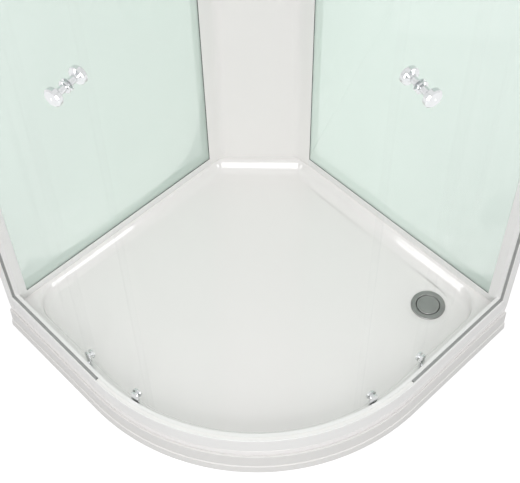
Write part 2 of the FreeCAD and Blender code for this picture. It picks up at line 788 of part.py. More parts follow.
def column_cap():
    """Cover plate that closes the column's hollow at the top."""
    tip, turn, back_turn, back_end = column_paths()
    gap = 2 * run
    inner = column_edge_y + column_wall + gap
    half = [(-wall, inner), (groove_back - column_wall - gap, inner),
            (groove_back - column_wall - gap, back_end[1] + gap),
            (back_end[0] - gap, back_end[1] + gap), (back_turn[0] - gap, back_turn[1] - gap),
            (back_turn[0] + 10, back_turn[1] + 10 + gap * 2)]
    outline = half + [(-y, -x) for x, y in reversed(half)] + [(-wall, wall)]
    return left_plan(outline, total_height - 6, total_height - 2)


save(corner_column(), "corner_column")
save(column_cap(), "column_cap")

# ---------------------------------------------------------------- fixed front panes
pane_y0 = centre.y - slot_mid - glass / 2
pane_y1 = pane_y0 + glass
pane_x0 = post_front - 9
pane_low = slot_floor + 2
pane_high = top_slot_roof - 2


def fixed_pane():
    return box(pane_x0, centre.x, pane_y0, pane_y1, pane_low, pane_high)


def glazing_strip():
    """Soft lining between the pane and the slots of the post and of both rails."""
    gap = 0.1
    y0 = centre.y - slot_out + gap
    y1 = centre.y - slot_in - gap
    legs = box(pane_x0 - 5, post_front - gap, y0, y1, slot_floor, top_slot_roof)
    legs = legs.fuse([box(pane_x0 - 5, centre.x, y0, y1, slot_floor, rail_top - 0.5),
                      box(pane_x0 - 5, centre.x, y0, y1, top_rail_bottom + 0.5, top_slot_roof)])
    return legs.cut(fixed_pane()).removeSplitter()


def pane_seal():
    """Clear seal on the pane's free edge, with a fin that stands close to the door."""
    wrap = 1.0
    grip = 8.0
    end_gap = 1.0
    seal = box(centre.x - grip, centre.x + 3, pane_y0 - wrap, pane_y1 + wrap,
               rail_top + end_gap, top_rail_bottom - end_gap)
    fin_clear = 40.0
    seal = seal.fuse(box(centre.x + 1.5, centre.x + 3, pane_y1, centre.y - door_out - 1.8,
                         rail_top + fin_clear, top_rail_bottom - fin_clear))
    return seal.cut(fixed_pane()).removeSplitter()


save_pair(fixed_pane(), "fixed_pane")
save_pair(glazing_strip(), "glazing_strip")
save_pair(pane_seal(), "pane_seal")

# ---------------------------------------------------------------- doors, parked open
def parked(shape, angle=0.0):
    """Left-door piece built in the plane where the curve starts, set at its closed angle from
    the diagonal and then run back by the door's travel."""
    return swung(shape, quarter / 2 - angle - door_open)


def door_sector(r0, r1, start, end, z0, z1):
    """Curved block of the left door between two closed angles from the diagonal."""
    profile = [(r0, z0), (r1, z0), (r1, z1), (r0, z1)]
    return sector(profile, quarter / 2 - end - door_open, quarter / 2 - start - door_open)


def through(radius, r0, r1, z):
    """Cylinder that points away from the centre of the curve."""
    return rod(radius, Vector(centre.x, centre.y - r0, z), Vector(centre.x, centre.y - r1, z))


bolt_hole_r = 6.0
bottom_bolt_z = bottom_axle_z + 30
top_bolt_z = top_axle_z - 30
knob_bolt_r = 4.7


def door_glass():
    """Curved pane with four roller holes and the knob's hole."""
    pane = door_sector(door_in, door_out, door_leading, door_trailing, door_bottom, door_top)
    holes = [parked(through(bolt_hole_r, door_in - 5, door_out + 5, z), angle)
             for z in (bottom_bolt_z, top_bolt_z) for angle in roller_angles]
    holes.append(parked(through(knob_bolt_r + run, door_in - 5, door_out + 5, knob_height),
                        knob_angle))
    return pane.cut(holes)


def magnet_seal():
    """Magnetic strip on the leading edge; it meets its twin on the diagonal."""
    wrap = 1.0
    strip = door_sector(door_in - wrap, door_out + wrap, 0.03, door_leading + 0.7,
                        door_bottom, door_top)
    return strip.cut(door_glass())


def edge_seal():
    """Clip-on seal on the trailing edge, with a fin towards the fixed pane."""
    wrap = 1.0
    fin_clear = 40.0
    strip = door_sector(door_in - wrap, door_out + wrap, door_trailing - 0.6,
                        door_trailing + 0.3, door_bottom, door_top)
    fin = door_sector(door_out, r_inner + 0.5, door_trailing + 0.1, door_trailing + 0.3,
                      rail_top + fin_clear, top_rail_bottom - fin_clear)
    return strip.fuse(fin).cut(door_glass())


def roller_plate(bolt_z, axle_z):
    """Plate outside the glass: bolt through the glass with a cap inside, axle into the channel."""
    half = 11.0
    low = min(bolt_z, axle_z)
    high = max(bolt_z, axle_z)
    back = door_out + 0.5
    front = back + 4
    plate = box(centre.x - half, centre.x + half, centre.y - front, centre.y - back, low, high)
    plate = plate.fuse([through(half, back, front, low), through(half, back, front, high)])
    bolt = through(bolt_hole_r - run, door_in, back, bolt_z)
    cap = through(half + 1, door_in - 6, door_in - run, bolt_z)
    outer_rim = [e for e in cap.Edges if len(e.Vertexes) == 1 and
                 abs(e.CenterOfMass.y - (centre.y - door_in + 6)) < 0.01]
    cap = cap.makeFillet(1.5, outer_rim).fuse(through(bolt_hole_r - run, door_in - 1, door_in,
                                                      bolt_z))
    hub = through(3.6, front, wheel_in - run, axle_z)
    axle = through(axle_r, front, wheel_out + run, axle_z)
    return plate.fuse([bolt, cap, hub, axle]).removeSplitter()


def roller_plates():
    """The door's four roller plates."""
    group = [parked(roller_plate(z, axle), angle)
             for z, axle in ((bottom_bolt_z, bottom_axle_z), (top_bolt_z, top_axle_z))
             for angle in roller_angles]
    return Part.makeCompound(group)


def wheel(radius, axle_z):
    """Running wheel with a crowned tread and a recess round its hub."""
    tread = 0.4
    hub = axle_r + 2.2
    dish = 0.6
    profile = [(axle_r + fit, wheel_in), (hub, wheel_in), (hub + 0.5, wheel_in + dish),
               (radius - 2.0, wheel_in + dish), (radius - 1.5, wheel_in), (radius - tread, wheel_in),
               (radius, wheel_in + tread), (radius, wheel_out - tread), (radius - tread, wheel_out),
               (axle_r + fit, wheel_out)]
    face = flat([Vector(centre.x, centre.y - r, axle_z + h) for h, r in profile])
    return face.revolve(Vector(centre.x, centre.y, axle_z), Vector(0, 1, 0), 360)


def knob():
    """Pair of turned knobs on one bolt, outside and inside the glass."""
    rise = 21.5
    head = 17.0

    def turned_knob(sign, base):
        steps = [(0, 0), (12, 0), (12, 1.4), (11, 2.2), (7, 3.2), (6.5, rise - 4), (8, rise - 1.5),
                 (head - 1.5, rise), (head, rise + 1.5), (head, rise + 9), (head - 2.5, rise + 11.5),
                 (0, rise + 12)]
        face = flat([Vector(centre.x, centre.y - base - sign * out, knob_height + h)
                     for h, out in steps])
        return face.revolve(Vector(centre.x, 0, knob_height), Vector(0, 1, 0), 360)

    bolt = through(knob_bolt_r, door_in - 2, door_out + 2, knob_height)
    return bolt.fuse([turned_knob(1, door_out + run), turned_knob(-1, door_in - run)])


save_pair(door_glass(), "door_glass")
save_pair(magnet_seal(), "magnet_seal")
save_pair(edge_seal(), "edge_seal")
save_pair(parked(knob(), knob_angle), "door_knob")
save_pair(roller_plates(), "roller_plates")
for place, angle in zip(("lead", "trail"), roller_angles):
    save_pair(parked(wheel(bottom_wheel_r, bottom_axle_z), angle), "bottom_wheel_" + place)
    save_pair(parked(wheel(top_wheel_r, top_axle_z), angle), "top_wheel_" + place)


def door_stops():
    """Rubber blocks in the head rail's channel: one at the middle and one past each door."""
    low = top_channel_floor
    high = low + 18
    inner = channel_in + 0.5
    outer = channel_out - run
    half = roller_angles[0] - math.degrees(top_wheel_r / wheel_in) - 0.15
    profile = [(inner, low), (outer, low), (outer, high), (inner, high)]
    middle = sector(profile, quarter / 2 - half, quarter / 2 + half)
    past = math.radians(roller_angles[1] + door_open - quarter / 2)
    start = centre.x - wheel_out * math.sin(past) - top_wheel_r - 2 * run
    end = box(start - 24, start, centre.y - outer, centre.y - inner, low, high)
    return Part.makeCompound([middle, end, mirrored(end)])


save(door_stops(), "door_stops")
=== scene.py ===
"""Looks of a quadrant shower enclosure: white acrylic tray, rails, posts and corner column, tinted
rear glass, clear front panes and curved doors on rollers. Sizes inside the shapes are millimetres.
"""

import math

import bmesh
import bpy
import numpy as np
from bpy.props import FloatProperty, FloatVectorProperty, IntProperty, PointerProperty
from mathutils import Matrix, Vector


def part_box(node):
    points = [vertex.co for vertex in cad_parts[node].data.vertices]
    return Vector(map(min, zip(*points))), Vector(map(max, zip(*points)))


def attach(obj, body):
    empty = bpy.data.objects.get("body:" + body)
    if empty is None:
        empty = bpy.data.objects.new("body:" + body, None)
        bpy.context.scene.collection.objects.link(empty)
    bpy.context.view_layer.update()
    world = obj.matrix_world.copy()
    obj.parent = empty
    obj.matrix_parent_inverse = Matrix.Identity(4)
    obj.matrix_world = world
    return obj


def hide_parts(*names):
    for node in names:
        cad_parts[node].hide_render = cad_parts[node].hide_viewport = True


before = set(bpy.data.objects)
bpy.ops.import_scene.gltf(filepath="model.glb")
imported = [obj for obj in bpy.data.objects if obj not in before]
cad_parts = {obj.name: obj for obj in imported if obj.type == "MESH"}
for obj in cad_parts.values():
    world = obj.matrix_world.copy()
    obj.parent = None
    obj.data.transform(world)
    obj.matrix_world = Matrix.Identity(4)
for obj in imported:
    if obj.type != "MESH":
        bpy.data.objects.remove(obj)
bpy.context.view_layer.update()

bl_info = {
    "name": "Quadrant Shower Enclosure",
    "version": (1, 0, 0),
    "blender": (4, 5, 0),
    "location": "3D View > Sidebar > Shower",
    "description": "Builds the visible surfaces of a quadrant shower enclosure",
    "category": "Object",
}

ROOT = "enclosure"
DOORS = ("door_left", "door_right")
METRE = 1000.0
SAME_PLACE = 2e-7  # metres within which two points are one


def node_box(node):
    """Lowest and highest corner of a solid, in millimetres."""
    low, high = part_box(node)
    return np.array(low) * METRE, np.array(high) * METRE


RAIL_LOW, RAIL_HIGH = node_box("bottom_rail")
HEAD_LOW, HEAD_HIGH = node_box("top_rail")
WASTE_LOW, WASTE_HIGH = node_box("waste_flange")
WASTE_CENTRE = (WASTE_LOW + WASTE_HIGH)[:2] / 2
TRAY_LOW, TRAY_HIGH = node_box("tray_shell")
PANE_LOW, PANE_HIGH = node_box("fixed_pane_left")
DOOR_LOW, DOOR_HIGH = node_box("door_glass_left")

# Where the parked left door stands on the front curve's circle, in degrees from the end of the left
# straight.
DOOR_GLASS_TURN = (16.15, -27.8)
LEADING_SEAL_TURN = 17.06
TRAILING_SEAL_TURN = -28.25

# Distances from the house wall that the posts, the column and the rear profiles share.
POST_FRONT = 25.0
PROFILE_FACE = 31.0
GROOVE_BACK, GROOVE_FRONT, GROOVE_DEEP = 24.7, 29.8, 8.5

# Rail sections: outer face to the glass slot, the slot's depth, the thickness of the lips that
# close the wheel channel, and that of the web between channel and slot.
SLOT_SETBACK = 3.75
SLOT_DEEP = 16.0
CHANNEL_LIP = 1.2
CHANNEL_WEB = 1.55


# ------------------------------------------------------------------ settings
def length(name, about, millimetres):
    """Property for a length, shown in the scene's unit."""
    return FloatProperty(name=name, description=about, default=millimetres / METRE, min=0.0,
                         precision=5, subtype="DISTANCE", unit="LENGTH")


def slope(name, about, degrees):
    """Property for a slope, measured from level."""
    return FloatProperty(name=name, description=about, default=math.radians(degrees), min=0.5,
                         max=1.5, subtype="ANGLE", unit="ROTATION")


def colour(name, about, rgb):
    """Property for a colour."""
    return FloatVectorProperty(name=name, description=about, default=rgb, size=3, min=0.0,
                               max=1.0, subtype="COLOR")


def share(name, about, value):
    """Property for a share from none to all."""
    return FloatProperty(name=name, description=about, default=value, min=0.0, max=1.0,
                         subtype="FACTOR")


def position(name, about, metres):
    """Property for a place, in metres."""
    return FloatVectorProperty(name=name, description=about, default=metres, size=3,
                               subtype="XYZ", unit="LENGTH")


def power(name, about, watts):
    """Property for a lamp's power."""
    return FloatProperty(name=name, description=about, default=watts, min=0.0, unit="POWER")


class EnclosureSizes(bpy.types.PropertyGroup):
    """Sizes of the visible surfaces."""
    wall: length("Wall", "Centre of the enclosure to a house wall", 450.0)
    front_radius: length("Front radius", "Centre of the front curve to the apron's foot", 550.0)
    rim: length("Rim", "Floor to the tray's rim", 112.0)
    basin_depth: length("Basin depth", "Rim to the basin floor at the waste", 31.0)
    basin_front: length("Basin front", "Front rail to the basin's wall", 22.0)
    basin_side: length("Basin side", "House wall to the basin's wall", 39.0)
    basin_back: length("Basin back", "House corner to the basin's wall, diagonally", 168.5)
    wall_lean: slope("Wall lean", "Slope of the basin's wall at the sides and back", 57.0)
    lip_round: length("Lip round", "Rounding of the basin's upper edge there", 14.0)
    floor_round: length("Floor round", "Rounding of the basin's floor edge there", 30.0)
    front_lean: slope("Front lean", "Slope of the basin's wall behind the front rail", 84.0)
    front_lip: length("Front lip round", "Rounding of the upper edge there", 14.0)
    front_floor: length("Front floor round", "Rounding of the floor edge there", 10.0)
    edge_round: length("Edge round", "Rounding of the edges of extruded profiles", 0.7)
    rail_setback: length("Rail setback", "Apron's foot to the rail's outer face", 11.0)
    rail_width: length("Rail width", "Width of the rails seen from above", 20.5)
    slot_width: length("Slot width", "Width of the glass slots", 7.5)
    glass: length("Front glass", "Thickness of the front glass", 5.0)
    door_setback: length("Door setback", "Rail's inner face to the doors' outer face", 7.0)
    arc_steps: IntProperty(name="Arc steps", description="Faces along the front curve",
                           default=120, min=24, max=400)
    turn_steps: IntProperty(name="Turn steps", description="Faces round a turned piece",
                            default=72, min=16, max=256)


class EnclosureFinishes(bpy.types.PropertyGroup):
    """Colours and gloss of the surfaces."""
    acrylic: colour("Acrylic", "Tray", (0.81, 0.79, 0.78))
    # The apron's colour is the tray's acrylic made darker: painted shade for its less lit faces.
    apron: colour("Apron", "Front apron", (0.735, 0.725, 0.71))
    coat: colour("Powder coat", "Rails, posts and profiles", (0.82, 0.815, 0.805))
    moulding: colour("Moulding", "Corner column and sill cover", (0.85, 0.835, 0.82))
    tint: colour("Tinted glass", "Rear glass walls", (0.84, 0.97, 0.90))
    clear: colour("Clear glass", "Front panes and doors", (0.90, 0.96, 0.94))
    edge: colour("Glass edge", "Polished edges of the glass", (0.36, 0.60, 0.50))
    rubber: colour("Rubber", "Gaskets and stops", (0.050, 0.054, 0.052))
    strip: colour("Glazing bead", "Rubber that holds the front panes", (0.30, 0.305, 0.30))
    seal: colour("Clear seal", "Soft extrusions on the glass", (0.80, 0.83, 0.82))
    chrome: colour("Chrome", "Knobs and roller plates", (0.74, 0.75, 0.76))
    waste: colour("Waste metal", "Satin metal of the waste", (0.32, 0.315, 0.31))
    steel: colour("Zinc steel", "Studs, nuts, screws and brackets", (0.56, 0.57, 0.58))
    frame_paint: colour("Frame paint", "Levelling frame", (0.20, 0.215, 0.23))
    board: colour("Board", "Base board", (0.46, 0.33, 0.20))
    black: colour("Black plastic", "Foot pads and strainer", (0.018, 0.018, 0.019))
    white: colour("White plastic", "Trap, outlet and wheels", (0.78, 0.78, 0.75))
    gloss: share("Acrylic roughness", "Roughness of the tray's gloss", 0.07)
    tint_body: share("Tint body", "How solid the rear glass looks face on", 0.55)
    clear_body: share("Clear body", "How solid the front glass looks face on", 0.01)


class StageSettings(bpy.types.PropertyGroup):
    """Camera, lamps and floor."""
    camera_place: position("Camera place", "Where the camera stands",
                           (1.11409, -1.02356, 2.36999))
    camera_turn: FloatVectorProperty(name="Camera turn", description="How the camera is turned",
                                     default=tuple(math.radians(a) for a in
                                                   (36.7028, 0.9004, 46.0608)),
                                     size=3, subtype="EULER", unit="ROTATION")
    lens: FloatProperty(name="Lens", description="Focal length for a 36 mm sensor",
                        default=74.95, min=10.0, subtype="DISTANCE_CAMERA", unit="CAMERA")
    shift: FloatVectorProperty(name="Shift", description="Sideways and upward lens shift",
                               default=(0.0064, 0.0125), size=2)
    ambient: share("Ambient", "Light from all round", 0.70)
    floor: share("Floor", "Lightness of the floor that the enclosure stands on", 0.40)
    floor_lift: share("Floor lift", "How much of its own light the floor shows the camera", 0.75)
    key_power: power("Overhead lamp", "Power of the overhead lamp", 140.0)
    key_place: position("Overhead place", "Where that lamp hangs", (1.15, -1.15, 7.9))
    key_size: length("Overhead size", "Side of the overhead lamp", 3000.0)
    front_power: power("Front lamp", "Power of the large front lamp", 25.0)
    front_place: position("Front place", "Where that lamp stands", (1.75, -1.75, 1.35))
    front_size: length("Front size", "Side of the front lamp", 1500.0)
    card_power: power("Side cards", "Power of each side card, seen in glossy surfaces alone", 3.6)
    card_place: position("Card place", "Where the right card stands", (1.6, 0.42, 0.62))
    card_size: length("Card size", "Side of the side cards", 460.0)
    front_card_power: power("Front card", "Power of the card before the front curve", 9.5)
    front_card_place: position("Front card place", "Where that card stands", (1.75, -1.75, 1.15))
    front_card_wide: length("Front card width", "Width of that card", 1050.0)
    front_card_high: length("Front card height", "Height of that card", 600.0)


# ------------------------------------------------------------------ surfaces
def rounded(corners, radius, steps=3, hold=0.3, closed=True, limit=0.45):
    """Outline whose corners are arcs. With a and b the unit vectors from a corner to its neighbours
    and h half the angle between them, the arc starts radius / tan(h) from the corner, its centre
    lies radius / sin(h) along a + b, and its points blend its two end radii by the sine of the
    angle. An arc takes no more than the limit's share of its shorter side. A point just past each
    of its ends, no further than the hold, keeps the flats flat in the shading."""
    corners = np.asarray(corners, float)
    to_last = np.roll(corners, 1, 0) - corners
    to_next = np.roll(corners, -1, 0) - corners
    last = np.linalg.norm(to_last, axis=1)
    following = np.linalg.norm(to_next, axis=1)
    a = to_last / last[:, None]
    b = to_next / following[:, None]
    half = 0.5 * np.arccos(np.clip((a * b).sum(1), -1.0, 1.0))
    room = np.minimum(last, following)
    wanted = np.maximum(np.broadcast_to(radius, len(corners)), 0.02)
    reach = np.minimum(wanted / np.tan(half), limit * room)
    radius = reach * np.tan(half)
    towards = (a + b) / np.linalg.norm(a + b, axis=1)[:, None]
    middle = corners + towards * (radius / np.sin(half))[:, None]
    start = corners + a * reach[:, None] - middle
    end = corners + b * reach[:, None] - middle
    swing = (math.pi - 2 * half)[:, None]
    part = np.linspace(0.0, 1.0, steps + 1)
    from_start = (np.sin((1 - part) * swing) / np.sin(swing))[..., None]
    from_end = (np.sin(part * swing) / np.sin(swing))[..., None]
    arc = middle[:, None] + from_start * start[:, None] + from_end * end[:, None]
    beyond = reach + np.minimum(hold, 0.04 * room)
    before = (corners + a * beyond[:, None])[:, None]
    after = (corners + b * beyond[:, None])[:, None]
    line = np.concatenate([before, arc, after], 1)
    if closed:
        return line.reshape(-1, 2)
    return np.concatenate([corners[:1], line[1:-1].reshape(-1, 2), corners[-1:]])


def shell(grid, wrap_rows=False, wrap_columns=True):
    """Surface over a grid of points, closed by flat ends unless its rows wrap. Its faces are turned
    outwards: the enclosed volume, which is a sixth of the sum of the triple products of its
    triangles, has to come out positive."""
    rows, columns = grid.shape[:2]
    index = np.arange(rows * columns).reshape(rows, columns)
    down = np.concatenate([index, index[:1]]) if wrap_rows else index
    both = np.concatenate([down, down[:, :1]], 1) if wrap_columns else down
    quads = np.stack([both[:-1, :-1], both[1:, :-1], both[1:, 1:], both[:-1, 1:]], -1)
    quads = quads.reshape(-1, 4)
    points = grid.reshape(-1, 3)
    ends = [] if wrap_rows else [index[0], index[-1][::-1]]
    corner = points[quads] - points.mean(0)
    volume = np.einsum("ij,ij->i", corner[:, 0], np.cross(corner[:, 1], corner[:, 2])).sum()
    volume += np.einsum("ij,ij->i", corner[:, 0], np.cross(corner[:, 2], corner[:, 3])).sum()
    for end in ends:
        rim = points[end] - points.mean(0)
        volume += np.einsum("j,ij->i", rim[0], np.cross(rim[1:-1], rim[2:])).sum()
    faces = quads.tolist() + [end.tolist() for end in ends]
    if volume < 0:
        faces = [face[::-1] for face in faces]
    return points, faces


def swept(profile, base, out):
    """Profile of (distance, height) pairs carried along a path: each point is the path's base point
    plus its outward direction times the distance, at the height."""
    plan = base[:, None, :] + out[:, None, :] * profile[None, :, :1]
    height = np.broadcast_to(profile[None, :, 1:], plan.shape[:2] + (1,))
    return shell(np.concatenate([plan, height], 2))


def straight(section, axis, ends):
    """Section carried straight along one plan axis from the first end to the last. Its points give
    the other plan coordinate and the height."""
    grid = np.empty((2, len(section), 3))
    grid[..., 1 - axis] = section[:, 0]
    grid[..., 2] = section[:, 1]
    grid[..., axis] = np.array(ends)[:, None]
    return shell(grid)


def curve_centre(sizes):
    """Plan point that the front curve is drawn about."""
    across = (sizes.wall - sizes.front_radius) * METRE
    return np.array([across, -across])


def straight_run(sizes):
    """Length of a straight, from the front curve's end to the house wall."""
    return (2 * sizes.wall - sizes.front_radius) * METRE


def front_path(sizes, run):
    """Left straight of the given length, front curve and right straight: base points and outward
    directions, where the curve's base point is its centre."""
    centre = curve_centre(sizes)
    angle = np.linspace(0.0, math.pi / 2, sizes.arc_steps + 1)
    out = np.stack([np.sin(angle), -np.cos(angle)], 1)
    base = np.repeat(centre[None], len(angle), 0)
    left = np.array([[centre[0] - run, centre[1]], [centre[0] - run / 2, centre[1]]])
    right = np.array([[centre[0], centre[1] + run / 2], [centre[0], centre[1] + run]])
    base = np.concatenate([left, base, right])
    out = np.concatenate([out[:1], out[:1], out, out[-1:], out[-1:]])
    return base, out


def arc_path(sizes, start, end, steps):
    """Part of the front curve between two angles in degrees from the left straight."""
    angle = np.radians(np.linspace(start, end, steps + 1))
    out = np.stack([np.sin(angle), -np.cos(angle)], 1)
    return np.repeat(curve_centre(sizes)[None], len(angle), 0), out


def upright(outline, levels):
    """Plan outline raised through the given heights. Where a level has its own outline, the walls
    run from one outline to the next."""
    outlines = [outline] * len(levels) if np.ndim(outline[0]) == 1 else outline
    rows = [np.column_stack([plan, np.full(len(plan), z)]) for plan, z in zip(outlines, levels)]
    return shell(np.stack(rows))


def turned(profile, origin, axis=(0, 0, 1), steps=None, closed=True):
    """Profile of (radius, distance along the axis) pairs turned about an axis: origin plus the
    distance along it plus the radius times the cosine and sine of the angle on two cross axes."""
    steps = steps or bpy.context.scene.enclosure_sizes.turn_steps
    axis = np.asarray(axis, float) / np.linalg.norm(axis)
    helper = np.array([0.0, 0.0, 1.0]) if abs(axis[2]) < 0.9 else np.array([1.0, 0.0, 0.0])
    side = np.cross(helper, axis)
    side /= np.linalg.norm(side)
    up = np.cross(axis, side)
    angle = np.linspace(0.0, 2 * math.pi, steps, endpoint=False)[:, None, None]
    ring = np.cos(angle) * side + np.sin(angle) * up
    grid = np.asarray(origin, float) + profile[None, :, 1:] * axis + profile[None, :, :1] * ring
    return shell(grid, wrap_rows=True, wrap_columns=closed)


def with_twins(corners):
    """Plan corners of a left half, followed by their right-hand twins in the reverse order, so that
    the outline goes on over the diagonal."""
    return corners + [(-y, -x) for x, y in reversed(corners)]


def mirrored(shells):
    """Right-hand twins: (x, y) becomes (-y, -x), and the faces are turned to stay outwards."""
    return [(np.stack([-points[:, 1], -points[:, 0], points[:, 2]], 1),
             [face[::-1] for face in faces]) for points, faces in shells]


def piece(name, body, shells, material, stands_for, sharp=38.0):
    """One object of closed shells that rides on a body, in metres, at the origin. Points that fall
    together, such as the ends of a turned profile on its axis, are merged, and edges that bend by
    more than the sharp angle stay sharp."""
    mesh = bpy.data.meshes.new(name)
    counts = np.cumsum([0] + [len(points) for points, _ in shells])
    faces = [[i + int(start) for i in face]
             for (_, part), start in zip(shells, counts) for face in part]
    points = np.concatenate([points for points, _ in shells]) / METRE
    mesh.from_pydata(points.tolist(), [], faces)
    work = bmesh.new()
    work.from_mesh(mesh)
    bmesh.ops.remove_doubles(work, verts=work.verts, dist=SAME_PLACE)
    loose = [edge for edge in work.edges if not edge.link_faces]
    bmesh.ops.delete(work, geom=loose, context="EDGES")
    work.to_mesh(mesh)
    work.free()
    mesh.shade_smooth()
    mesh.set_sharp_from_angle(angle=math.radians(sharp))
    made = bpy.data.objects.new(name, mesh)
    bpy.context.scene.collection.objects.link(made)
    mesh.materials.append(material)
    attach(made, body)
    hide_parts(*stands_for)
    return made


def second_finish(made, chosen, other):
    """Gives the chosen faces another finish."""
    made.data.materials.append(other)
    made.data.polygons.foreach_set("material_index", chosen.astype(np.int32))


def face_values(made, name, size):
    """One row of values for each face, such as its normal."""
    values = np.empty(len(made.data.polygons) * size)
    made.data.polygons.foreach_get(name, values)
    return values.reshape(-1, size)


def pair(name, node, shells, material, bodies=(ROOT, ROOT)):
    """A left-hand piece and its right-hand twin, each standing for its own solid."""
    return [piece(name + side, body, form, material, [node + side])
            for side, body, form in (("_left", bodies[0], shells),
                                     ("_right", bodies[1], mirrored(shells)))]


# ------------------------------------------------------------------ shader expressions
class Value:
    """A shader socket in a Python expression: each operator adds the Math node for it."""

    def __init__(self, nodes, socket):
        self.nodes = nodes
        self.socket = socket

    def math(self, operation, *values, clamp=False):
        """The result of a Math node on the given values."""
        return self.nodes.node("ShaderNodeMath", {"operation": operation, "use_clamp": clamp},
                               dict(enumerate(values)))

    def __add__(self, other):
        return self.math("ADD", self, other)

    def __mul__(self, other):
        return self.math("MULTIPLY", self, other)

    def __pow__(self, other):
        return self.math("POWER", self, other)

    __radd__ = __add__
    __rmul__ = __mul__

    def clamped(self):
        """The value kept between none and all."""
        return self.math("ADD", self, 0.0, clamp=True)


class Nodes:
    """The node tree of a material or world under construction, with its shader."""

    def __init__(self, owner, shader):
        owner.use_nodes = True
        self.tree = owner.node_tree
        self.shader = self.tree.nodes[shader]

    def node(self, kind, settings=None, inputs=None, output=0):
        """Adds a node with its settings and the values or links of its sockets."""
        made = self.tree.nodes.new(kind)
        for key, value in (settings or {}).items():
            if key == "stops":
                for stop, (position, shade) in zip(made.color_ramp.elements, value):
                    stop.position = position
                    stop.color = (shade, shade, shade, 1.0)
            else:
                setattr(made, key, value)
        for key, value in (inputs or {}).items():
            self.feed(made.inputs[key], value)
        return Value(self, made.outputs[output])

    def feed(self, socket, value):
        """Links an expression to a socket, or sets a plain number or colour on it."""
        if isinstance(value, Value):
            self.tree.links.new(value.socket, socket)
        elif hasattr(value, "__len__") and socket.type == "RGBA":
            socket.default_value = tuple(value)[:3] + (1.0,)
        else:
            socket.default_value = value

    def set(self, **inputs):
        """Feeds the shader's sockets, named with underscores for their spaces."""
        for key, value in inputs.items():
            self.feed(self.shader.inputs[key.replace("_", " ")], value)
        return self


class Finish(Nodes):
    """A material under construction, with its object coordinates."""

    def __init__(self, name, **fixed):
        self.material = bpy.data.materials.new(name)
        super().__init__(self.material, "Principled BSDF")
        self.place = self.node("ShaderNodeTexCoord", output="Object")
        self.set(**fixed)

    def noise(self, scale, detail=2.0, stretch=(1.0, 1.0, 1.0), rough=0.5):
        """Noise from none to all at so many features per metre, drawn out along the axes."""
        spot = self.node("ShaderNodeMapping", inputs={"Vector": self.place, "Scale": stretch})
        return self.node("ShaderNodeTexNoise", {"noise_dimensions": "3D"},
                         {"Vector": spot, "Scale": scale, "Detail": detail, "Roughness": rough})

    def ramp(self, value, low, high):
        """The value stretched so that low becomes none and high becomes all."""
        return self.node("ShaderNodeValToRGB", {"stops": ((low, 0.0), (high, 1.0))},
                         {"Fac": value})

    def mixed(self, factor, first, second):
        """The first colour, turning into the second as the factor grows."""
        return self.node("ShaderNodeMix", {"data_type": "RGBA"},
                         {0: factor, 6: first, 7: second}, 2)

    def bump(self, height, depth, strength=1.0):
        """Feeds a height, from none to all of the depth in metres, to the shader's normal."""
        normal = self.node("ShaderNodeBump", inputs={"Strength": strength, "Distance": depth,
                                                     "Height": height})
        return self.set(Normal=normal)


def shaded(rgb, amount):
    """The colour a little darker."""
    return tuple(c * amount for c in rgb)


def acrylic_finish(name, rgb, gloss, waves, dried, **coat):
    """Vacuum-formed acrylic: slow waves in the gloss, dried water marks, faint polish marks."""
    it = Finish(name, **coat)
    tone = it.noise(5.0, 3.0)
    water = it.ramp(it.noise(34.0, 4.0, rough=0.6), 0.52, 0.75)
    it.set(Base_Color=it.mixed(tone, rgb, shaded(rgb, 0.985)),
           Roughness=gloss + 0.02 * it.noise(20.0, 3.0) + dried * water)
    return it.bump(it.noise(9.0, 1.0), waves, 0.25).material


def coat_finish(colours):
    """Powder coat on aluminium: fine orange peel and a satin gloss that varies a little."""
    it = Finish("white_powder_coat", IOR=1.42, Specular_IOR_Level=0.3)
    it.set(Base_Color=it.mixed(it.noise(9.0), colours.coat, shaded(colours.coat, 0.975)),
           Roughness=0.28 + 0.03 * it.noise(8.0, 3.0))
    return it.bump(it.noise(600.0, 2.0), 0.000006, 0.4).material


def moulding_finish(colours):
    """Smooth white moulding with long faint draw lines."""
    it = Finish("white_moulding", IOR=1.5)
    lines = it.noise(60.0, 2.0, (1.0, 1.0, 0.02))
    it.set(Base_Color=it.mixed(it.noise(4.0), colours.moulding, shaded(colours.moulding, 0.98)),
           Roughness=0.17 + 0.07 * it.noise(30.0, 3.0))
    return it.bump(lines + 0.3 * it.noise(8.0, 1.0), 0.0002, 0.3).material


def glass_finish(name, rgb, body, rim_body, haze):
    """Sheet glass whose solidity grows towards grazing angles, with specks of dried spray."""
    it = Finish(name, IOR=1.52)
    facing = it.node("ShaderNodeLayerWeight", inputs={"Blend": 0.35}, output=1)
    spray = it.ramp(it.noise(220.0, 2.0), 0.66, 0.78) * haze
    it.set(Base_Color=it.mixed(it.noise(3.0), rgb, shaded(rgb, 0.985)),
           Roughness=0.02 + 0.03 * it.noise(14.0) + 0.3 * spray,
           Alpha=(body + rim_body * facing ** 3.0 + 0.10 * spray).clamped())
    return it.bump(it.noise(5.0, 1.0), 0.0006, 0.15).material


def edge_finish(colours):
    """Polished glass edge: deep green, with fine grinding lines."""
    it = Finish("glass_edge", Alpha=0.8, IOR=1.52)
    it.set(Base_Color=it.mixed(it.noise(20.0), colours.edge, shaded(colours.edge, 0.8)),
           Roughness=0.12 + 0.2 * it.noise(500.0, 2.0, (1.0, 1.0, 0.05)))
    return it.material


def rubber_finish(name, rgb):
    """Matt extruded rubber with a dusty bloom."""
    it = Finish(name, IOR=1.45)
    bloom = it.ramp(it.noise(70.0, 4.0), 0.45, 0.8)
    it.set(Base_Color=it.mixed(bloom, rgb, tuple(0.93 * c + 0.05 for c in rgb)),
           Roughness=0.55 + 0.2 * it.noise(160.0))
    return it.bump(it.noise(700.0, 2.0), 0.00008, 0.5).material


